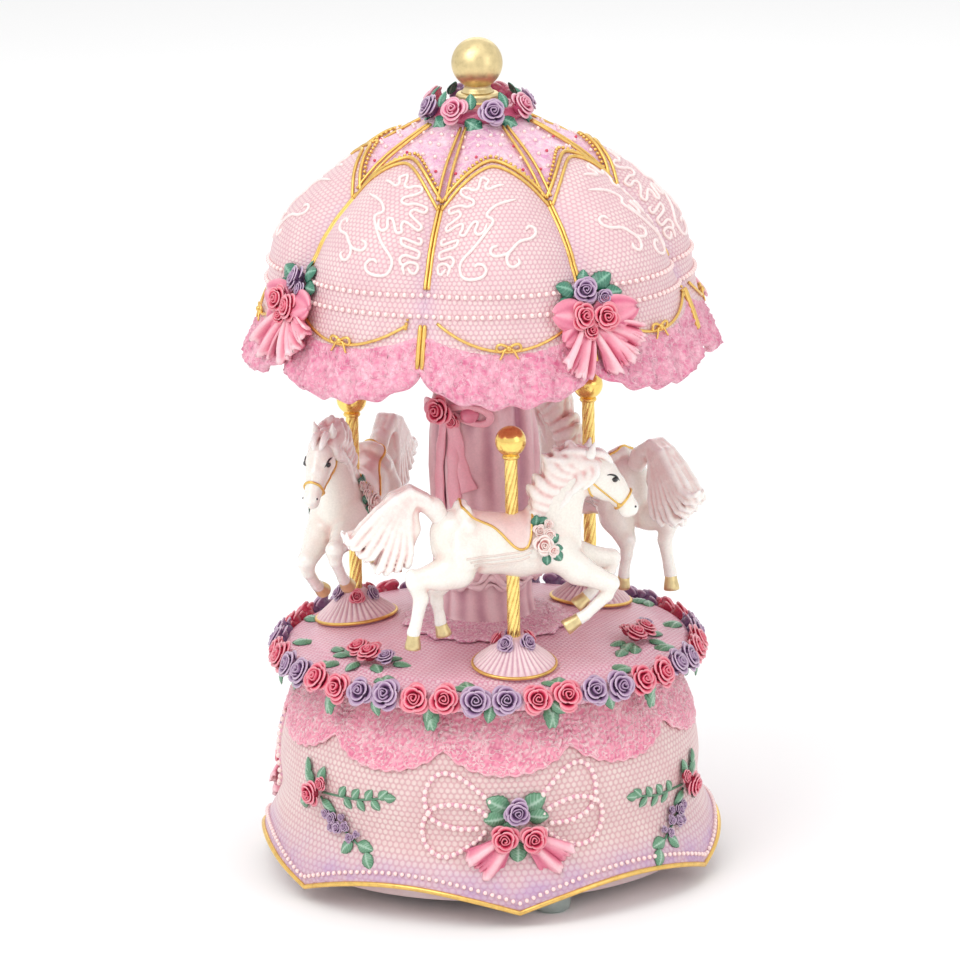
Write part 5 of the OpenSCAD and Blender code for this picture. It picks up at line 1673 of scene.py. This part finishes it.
def make_horse():
    """All the horse's pieces, by name, round the middle of its body."""
    clay = horse_clay()
    parts = shapes("body", "hair", "gold", "dark", "pink", "green", "white", "hoofs")
    body, hair, gold, dark, pink, green, white, hoofs = parts.values()
    points, faces = clay.skin()
    on_seat = ease(-outline_distance(SEAT, points[:, 0], points[:, 2]), -0.15, 0.15) * (np.abs(points[:, 1]) < 9)
    # The body's and the hair's tints are painted shade in creases and a painted highlight on ridges.
    body.add((points, faces), clay.shade(points), np.column_stack([0 * on_seat, 0 * on_seat, on_seat]))
    for part in (mane(), tail()):
        points, faces = part.skin()
        hair.add((points, faces), part.shade(points, 0.8, 0.8))
    edge = [(-12.2, 9.6)] + SEAT[1:12]
    for side in (-1, 1):
        gold.add(tube(side_line(clay, edge, side), 0.32, 7), 0.6)
        for drop in (1.0, 2.0, 3.0):
            band = [(-13.4 + drop, -0.6 - drop), (-6, -0.7 - drop), (0, -0.2 - drop),
                    (4.0 - 0.4 * drop, 0.6 - drop)]
            body.add(tube(side_line(clay, band, side, -0.02), 0.3, 6), 0.34)
        gold.add(tube(side_line(clay, [(17.6, 14.2), (20.8, 11.2), (24.8, 7.6)], side), 0.24, 6), 0.6)
        gold.add(tube(side_line(clay, [(17.2, 16.4), (17.3, 13.6), (18.2, 10.6), (19.0, 9.6)], side), 0.27, 6), 0.6)
        gold.add(bead(side_line(clay, [(17.6, 14.2), (17.7, 14.1)], side)[0], 0.5), 0.6)
        gold.add(bead(side_line(clay, [(25.1, 7.2), (25.2, 7.1)], side)[0], 0.58), 0.6)
        eye = side_line(clay, [(23.3, 14.0), (24.6, 13.4)], side, 0.0, 12)
        dark.add(tube(eye, 0.66 * np.sin(np.linspace(0.35, 2.9, 12)), 10), 0.3)
        dark.add(tube(side_line(clay, [(22.0, 15.0), (23.1, 15.0), (24.3, 14.4), (25.1, 13.3)], side, 0.05, 14),
                      0.26 * np.sin(np.linspace(0.3, 2.8, 14)), 6), 0.3)
        dark.add(bead(side_line(clay, [(29.0, 6.6), (29.1, 6.5)], side, -0.1)[0], 0.3), 0.9)
        for x, z, size, where in ((5.7, 0.3, 2.4, white), (5.2, 3.4, 1.5, pink), (7.4, 2.4, 1.5, pink),
                                  (8.0, -1.0, 1.4, pink),
                                  (7.6, 4.6, 1.2, white)):
            spot = side_line(clay, [(x, z), (x + 0.01, z)], side, 0.35)[0]
            set_on(where, ROSES[int(size * 7) % 4], spot, (0.15, side, 0.1), size, x * 40)
        for x, z, spin in ((7.6, 0.8, 35), (8.2, -0.6, 345), (6.8, -2.0, 270), (8.6, -1.4, 305), (4.6, 4.2, 80),
                           (5.2, 4.6, 30)):
            spot = side_line(clay, [(x, z), (x + 0.01, z)], side, 0.5)[0]
            set_on(green, LEAF, spot, (0, side, 0), (2.7, 3.6, 2.7), spin if side < 0 else 180 - spin)
    gold.add(tube(ring_line(clay, (26.4, 0, 8.2), (0.76, 0, -0.65), 4.5), 0.3, 7, True), 0.6)
    gold.add(tube(top_line(clay, -12.3, 3.2), 0.3, 7), 0.6)
    for ankle, toe in (((15.2, -4, -18.6), (11.4, -4, -20.9)), ((18.6, 4, -15.6), (15.6, 4, -18.1)),
                       ((-24.4, -4, -19.4), (-24.7, -4, -23.4)), ((-16.6, 4, -19.8), (-15.8, 4, -23.0))):
        hoofs.add(hoof(ankle, toe, 1.75), 0.6)
    return parts


# ---------------------------------------------------------------- pieces

# The end of a piece's name and its slot, for each kind in a group of flowers.
FLOWER_PIECES = {
    "red": ("red_roses", "rose_red"),
    "lilac": ("lilac_roses", "rose_lilac"),
    "leaf": ("leaves", "leaf_green"),
    "teal": ("leaves", "leaf_green"),
    "ribbon": ("ribbons", "ribbon_pink"),
}


def make_flowers(prefix, flowers, body, node):
    """A piece for each kind of flower, leaf and ribbon in a group. The kind is its finish too."""
    for kind, shape in flowers.items():
        name, slot = FLOWER_PIECES[kind]
        make(prefix + "_" + name, shape, kind, body, slot, node)


make("base_shell", base_shell(), "base", "base", "base_resin", "base_shell")
make("base_lace_collar", lace_collar(), "lace", "base", "lace_resin", "base_shell")
make("base_gold_rim", base_rim(), "gold", "base", "gold_trim", "base_shell")
make("base_hem_pearls", hem_pearls(), "pearl", "base", "pearl", "base_shell")
pearls, cord = pearl_bows()
make("pearl_bows", pearls, "pearl", "base", "pearl", "pearl_bows")
make("pearl_bow_cords", cord, "ruffle", "base", "pearl", "pearl_bows")
make_flowers("base_bouquet", base_bouquets(), "base", "base_bouquets")
flowers = base_sprays()
make("base_spray_roses", flowers["red"], "red", "base", "rose_red", "base_sprays")
make("base_spray_leaves", flowers["leaf"], "leaf", "base", "leaf_green", "base_sprays")
make("base_spray_lilac", flowers["lilac"], "lilac", "base", "rose_lilac", "base_sprays")

make("platform", turntable(), "platform", "carousel", "platform_resin", "turntable")
make_flowers("garland", rose_garland(), "carousel", "rose_garland")
make_flowers("sprig", platform_sprigs(), "carousel", "platform_sprigs")
make("column_ruffle", column_ruffle(), "ruffle", "carousel", "lace_resin", "column_ruffle")
make("column_drapery", column(), "column", "carousel", "column_resin", "column")
flowers = column_bow()
make("column_bow_roses", flowers["red"], "red", "carousel", "rose_red", "column_bow")
make("column_bow_ribbon", flowers["ribbon"], "ribbon", "carousel", "ribbon_pink", "column_bow")

pedestal_body, pedestal_rim, pedestal_flowers = pedestal()
pole_shape, ball_shape, horse_shapes = pole(), pole_ball(), make_horse()
# The end of a piece's name, the shape from make_horse, its finish and its slot.
HORSE_PARTS = [("figure", "body", "horse", "horse_glaze"), ("mane_and_tail", "hair", "mane", "horse_glaze"),
               ("gold_tack", "gold", "gold", "gold_trim"), ("hooves", "hoofs", "old_gold", "gold_trim"),
               ("eyes", "dark", "eye", "horse_glaze"), ("pink_roses", "pink", "blush", "horse_glaze"),
               ("white_roses", "white", "blush", "horse_glaze"), ("leaves", "green", "teal", "leaf_green")]


def stand_horse(shape, k):
    return stand(shape.moved(lambda points: points + [0, 0, HORSE_Z]), k)


for k in range(HORSES):
    n = str(k + 1)
    make("pedestal_" + n + "_cone", stand(pedestal_body, k), "pedestal", "carousel", "pedestal_resin",
         "pedestal_" + n)
    make("pedestal_" + n + "_gold_rim", stand(pedestal_rim, k), "gold", "carousel", "gold_trim", "pedestal_" + n)
    for name, finish, slot in (("lilac", "lilac", "rose_lilac"), ("red", "red", "rose_red"),
                               ("leaf", "teal", "leaf_green")):
        make("pedestal_" + n + "_" + name, stand(pedestal_flowers[name], k), finish, "carousel", slot,
             "pedestal_" + n)
    make("twisted_pole_" + n, stand(pole_shape, k), "pole_gold", "carousel", "gold_trim", "pole_" + n)
    make("pole_top_ball_" + n, stand(ball_shape, k), "bright_gold", "carousel", "gold_trim", "pole_ball_" + n)
    for name, part, finish, slot in HORSE_PARTS:
        make("horse_" + n + "_" + name, stand_horse(horse_shapes[part], k), finish, "carousel", slot, "horse_" + n)

make("canopy_shell", canopy_shell(), "canopy", "carousel", "canopy_resin", "canopy")
make("canopy_embroidery", embroidery(), "piping", "carousel", "canopy_resin", "canopy")
make("crown_pearl_dots", crown_dots("pearl"), "pearl", "carousel", "pearl", "canopy")
make("crown_red_dots", crown_dots("red"), "red", "carousel", "rose_red", "canopy")
make("canopy_gold_ribs", canopy_gold(), "gold", "carousel", "gold_trim", "canopy_ribs")
make("canopy_pearl_rows", canopy_pearls(), "pearl", "carousel", "pearl", "canopy_pearls")
make("canopy_gold_swags", canopy_swags(), "gold", "carousel", "gold_trim", "canopy_swags")
make_flowers("canopy_bouquet", canopy_bouquets(), "carousel", "canopy_bouquets")
flowers = wreath()
make("crown_pink_roses", flowers["pink"], "pink", "carousel", "crown_resin", "crown_roses")
make("crown_lilac_roses", flowers["lilac"], "lilac", "carousel", "crown_resin", "crown_roses")
make("crown_leaves", flowers["teal"], "teal", "carousel", "leaf_green", "crown_roses")
make("finial_collar_ring", finial_collar(), "old_gold", "carousel", "gold_trim", "finial_collar")
make("finial_ball", finial(), "old_gold", "carousel", "gold_trim", "finial")

# Finishes of the CAD nodes that keep their own shape.
KEPT = {
    "rubber": ["rubber_feet"],
    "plastic": ["bottom_cover"],
    "steel": ["cover_screws", "movement_screws", "comb_screws", "comb", "mainspring", "output_shaft", "shaft_nut",
              "winding_key", "winding_arbor", "cylinder_arbor"],
    "zinc": ["bedplate", "cylinder_bracket", "governor_bracket"],
    "brass": ["shaft_bush", "spring_barrel", "music_cylinder", "cylinder_wheel", "governor_wheel"],
    "nylon": ["governor_fan"],
}
for finish, nodes in KEPT.items():
    for node in nodes:
        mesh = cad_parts[node].data
        mesh.materials.clear()
        mesh.materials.append(FINISH[finish])
        mesh.polygons.foreach_set("material_index", [0] * len(mesh.polygons))


# ---------------------------------------------------------------- floor, light and camera

def studio_floor():
    """A round floor, of rings that widen outwards round a small disc."""
    rings, sides = 29, 48
    reach = (np.linspace(0, 1, rings + 1) ** 2 * 6.0)[1:, None]
    a = np.radians(all_round(sides))
    points = np.stack([reach * np.cos(a), reach * np.sin(a), 0 * reach * a], -1).reshape(-1, 3)
    mesh = bpy.data.meshes.new("studio_floor")
    mesh.from_pydata(points.tolist(), [], quads(rings, sides, False, True).tolist() + [list(range(sides))])
    floor = bpy.data.objects.new("studio_floor", mesh)
    bpy.context.scene.collection.objects.link(floor)
    p = Paint("studio_floor")
    cloud = p.noise(400, 2)
    p.set(colour=p.mix(cloud, (0.96, 0.96, 0.96), (0.98, 0.98, 0.98)), rough=p.grey(cloud, 0.3, 0.7, 0.75, 0.85))
    mesh.materials.append(p.material)


studio_floor()
world = bpy.data.worlds.new("studio")
bpy.context.scene.world = world
world.use_nodes = True
tree = world.node_tree
around = tree.nodes.new("ShaderNodeTexCoord")
height = tree.nodes.new("ShaderNodeSeparateXYZ")
tone = tree.nodes.new("ShaderNodeValToRGB")
tree.links.new(around.outputs["Generated"], height.inputs[0])
lift = tree.nodes.new("ShaderNodeMath")
lift.operation = "MULTIPLY_ADD"
lift.inputs[1].default_value, lift.inputs[2].default_value = 0.5, 0.5
tree.links.new(height.outputs[2], lift.inputs[0])
tree.links.new(lift.outputs[0], tone.inputs[0])
for element, (at, value) in zip([*tone.color_ramp.elements, *[tone.color_ramp.elements.new(0.5) for _ in range(2)]],
                                ((0.45, 1.0), (0.62, 0.74), (0.85, 1.0), (1.0, 0.95))):
    element.position, element.color = at, (value, value, value, 1)
tree.links.new(tone.outputs["Color"], tree.nodes["Background"].inputs["Color"])
tree.nodes["Background"].inputs["Strength"].default_value = 0.92


def softbox(name, azimuth, elevation, distance, size, power):
    """A rectangular lamp that faces the middle of the object."""
    a, e = math.radians(azimuth), math.radians(elevation)
    back = Vector((math.sin(a) * math.cos(e), -math.cos(a) * math.cos(e), math.sin(e)))
    light = bpy.data.lights.new(name, "AREA")
    light.shape, light.size, light.size_y = "RECTANGLE", size[0], size[1]
    light.energy = power
    lamp = bpy.data.objects.new(name, light)
    lamp.location = Vector((0, 0, 0.1)) + back * distance
    lamp.rotation_mode = "QUATERNION"
    lamp.rotation_quaternion = (-back).to_track_quat("-Z", "Y")
    bpy.context.scene.collection.objects.link(lamp)


softbox("key_softbox", -48, 48, 0.9, (0.55, 0.55), 2.6)
softbox("fill_softbox", 42, 22, 1.0, (0.5, 0.7), 1.0)
softbox("top_softbox", 10, 82, 1.0, (0.7, 0.7), 1.2)
softbox("back_softbox", 170, 30, 1.1, (0.8, 0.5), 1.2)

# The photograph's camera, solved from the outline: angles, metres, and a focal length in picture pixels.
AZIMUTH, ELEVATION, ROLL, DISTANCE = math.radians(-6.6), math.radians(14.6), math.radians(-1.065), 1.298
AIM_Z, AIM_RIGHT, FOCAL_PX, PICTURE_PX = 0.0935, -0.0011, 5460.7, 960
camera = bpy.data.objects.new("camera", bpy.data.cameras.new("camera"))
bpy.context.scene.collection.objects.link(camera)
back = Vector((math.sin(AZIMUTH) * math.cos(ELEVATION), -math.cos(AZIMUTH) * math.cos(ELEVATION),
               math.sin(ELEVATION)))
right = Vector((math.cos(AZIMUTH), math.sin(AZIMUTH), 0))
up = back.cross(right)
camera.data.sensor_width = 36
camera.data.lens = 36 * FOCAL_PX / PICTURE_PX
camera.data.clip_start, camera.data.clip_end = 0.05, 30
camera.location = Vector((0, 0, AIM_Z)) + right * AIM_RIGHT + back * DISTANCE
tilted = right * math.cos(ROLL) + up * math.sin(ROLL)
camera.rotation_mode = "QUATERNION"
camera.rotation_quaternion = Matrix((tilted, back.cross(tilted), back)).transposed().to_quaternion()
bpy.context.scene.camera = camera
bpy.context.scene.view_settings.view_transform = "Standard"
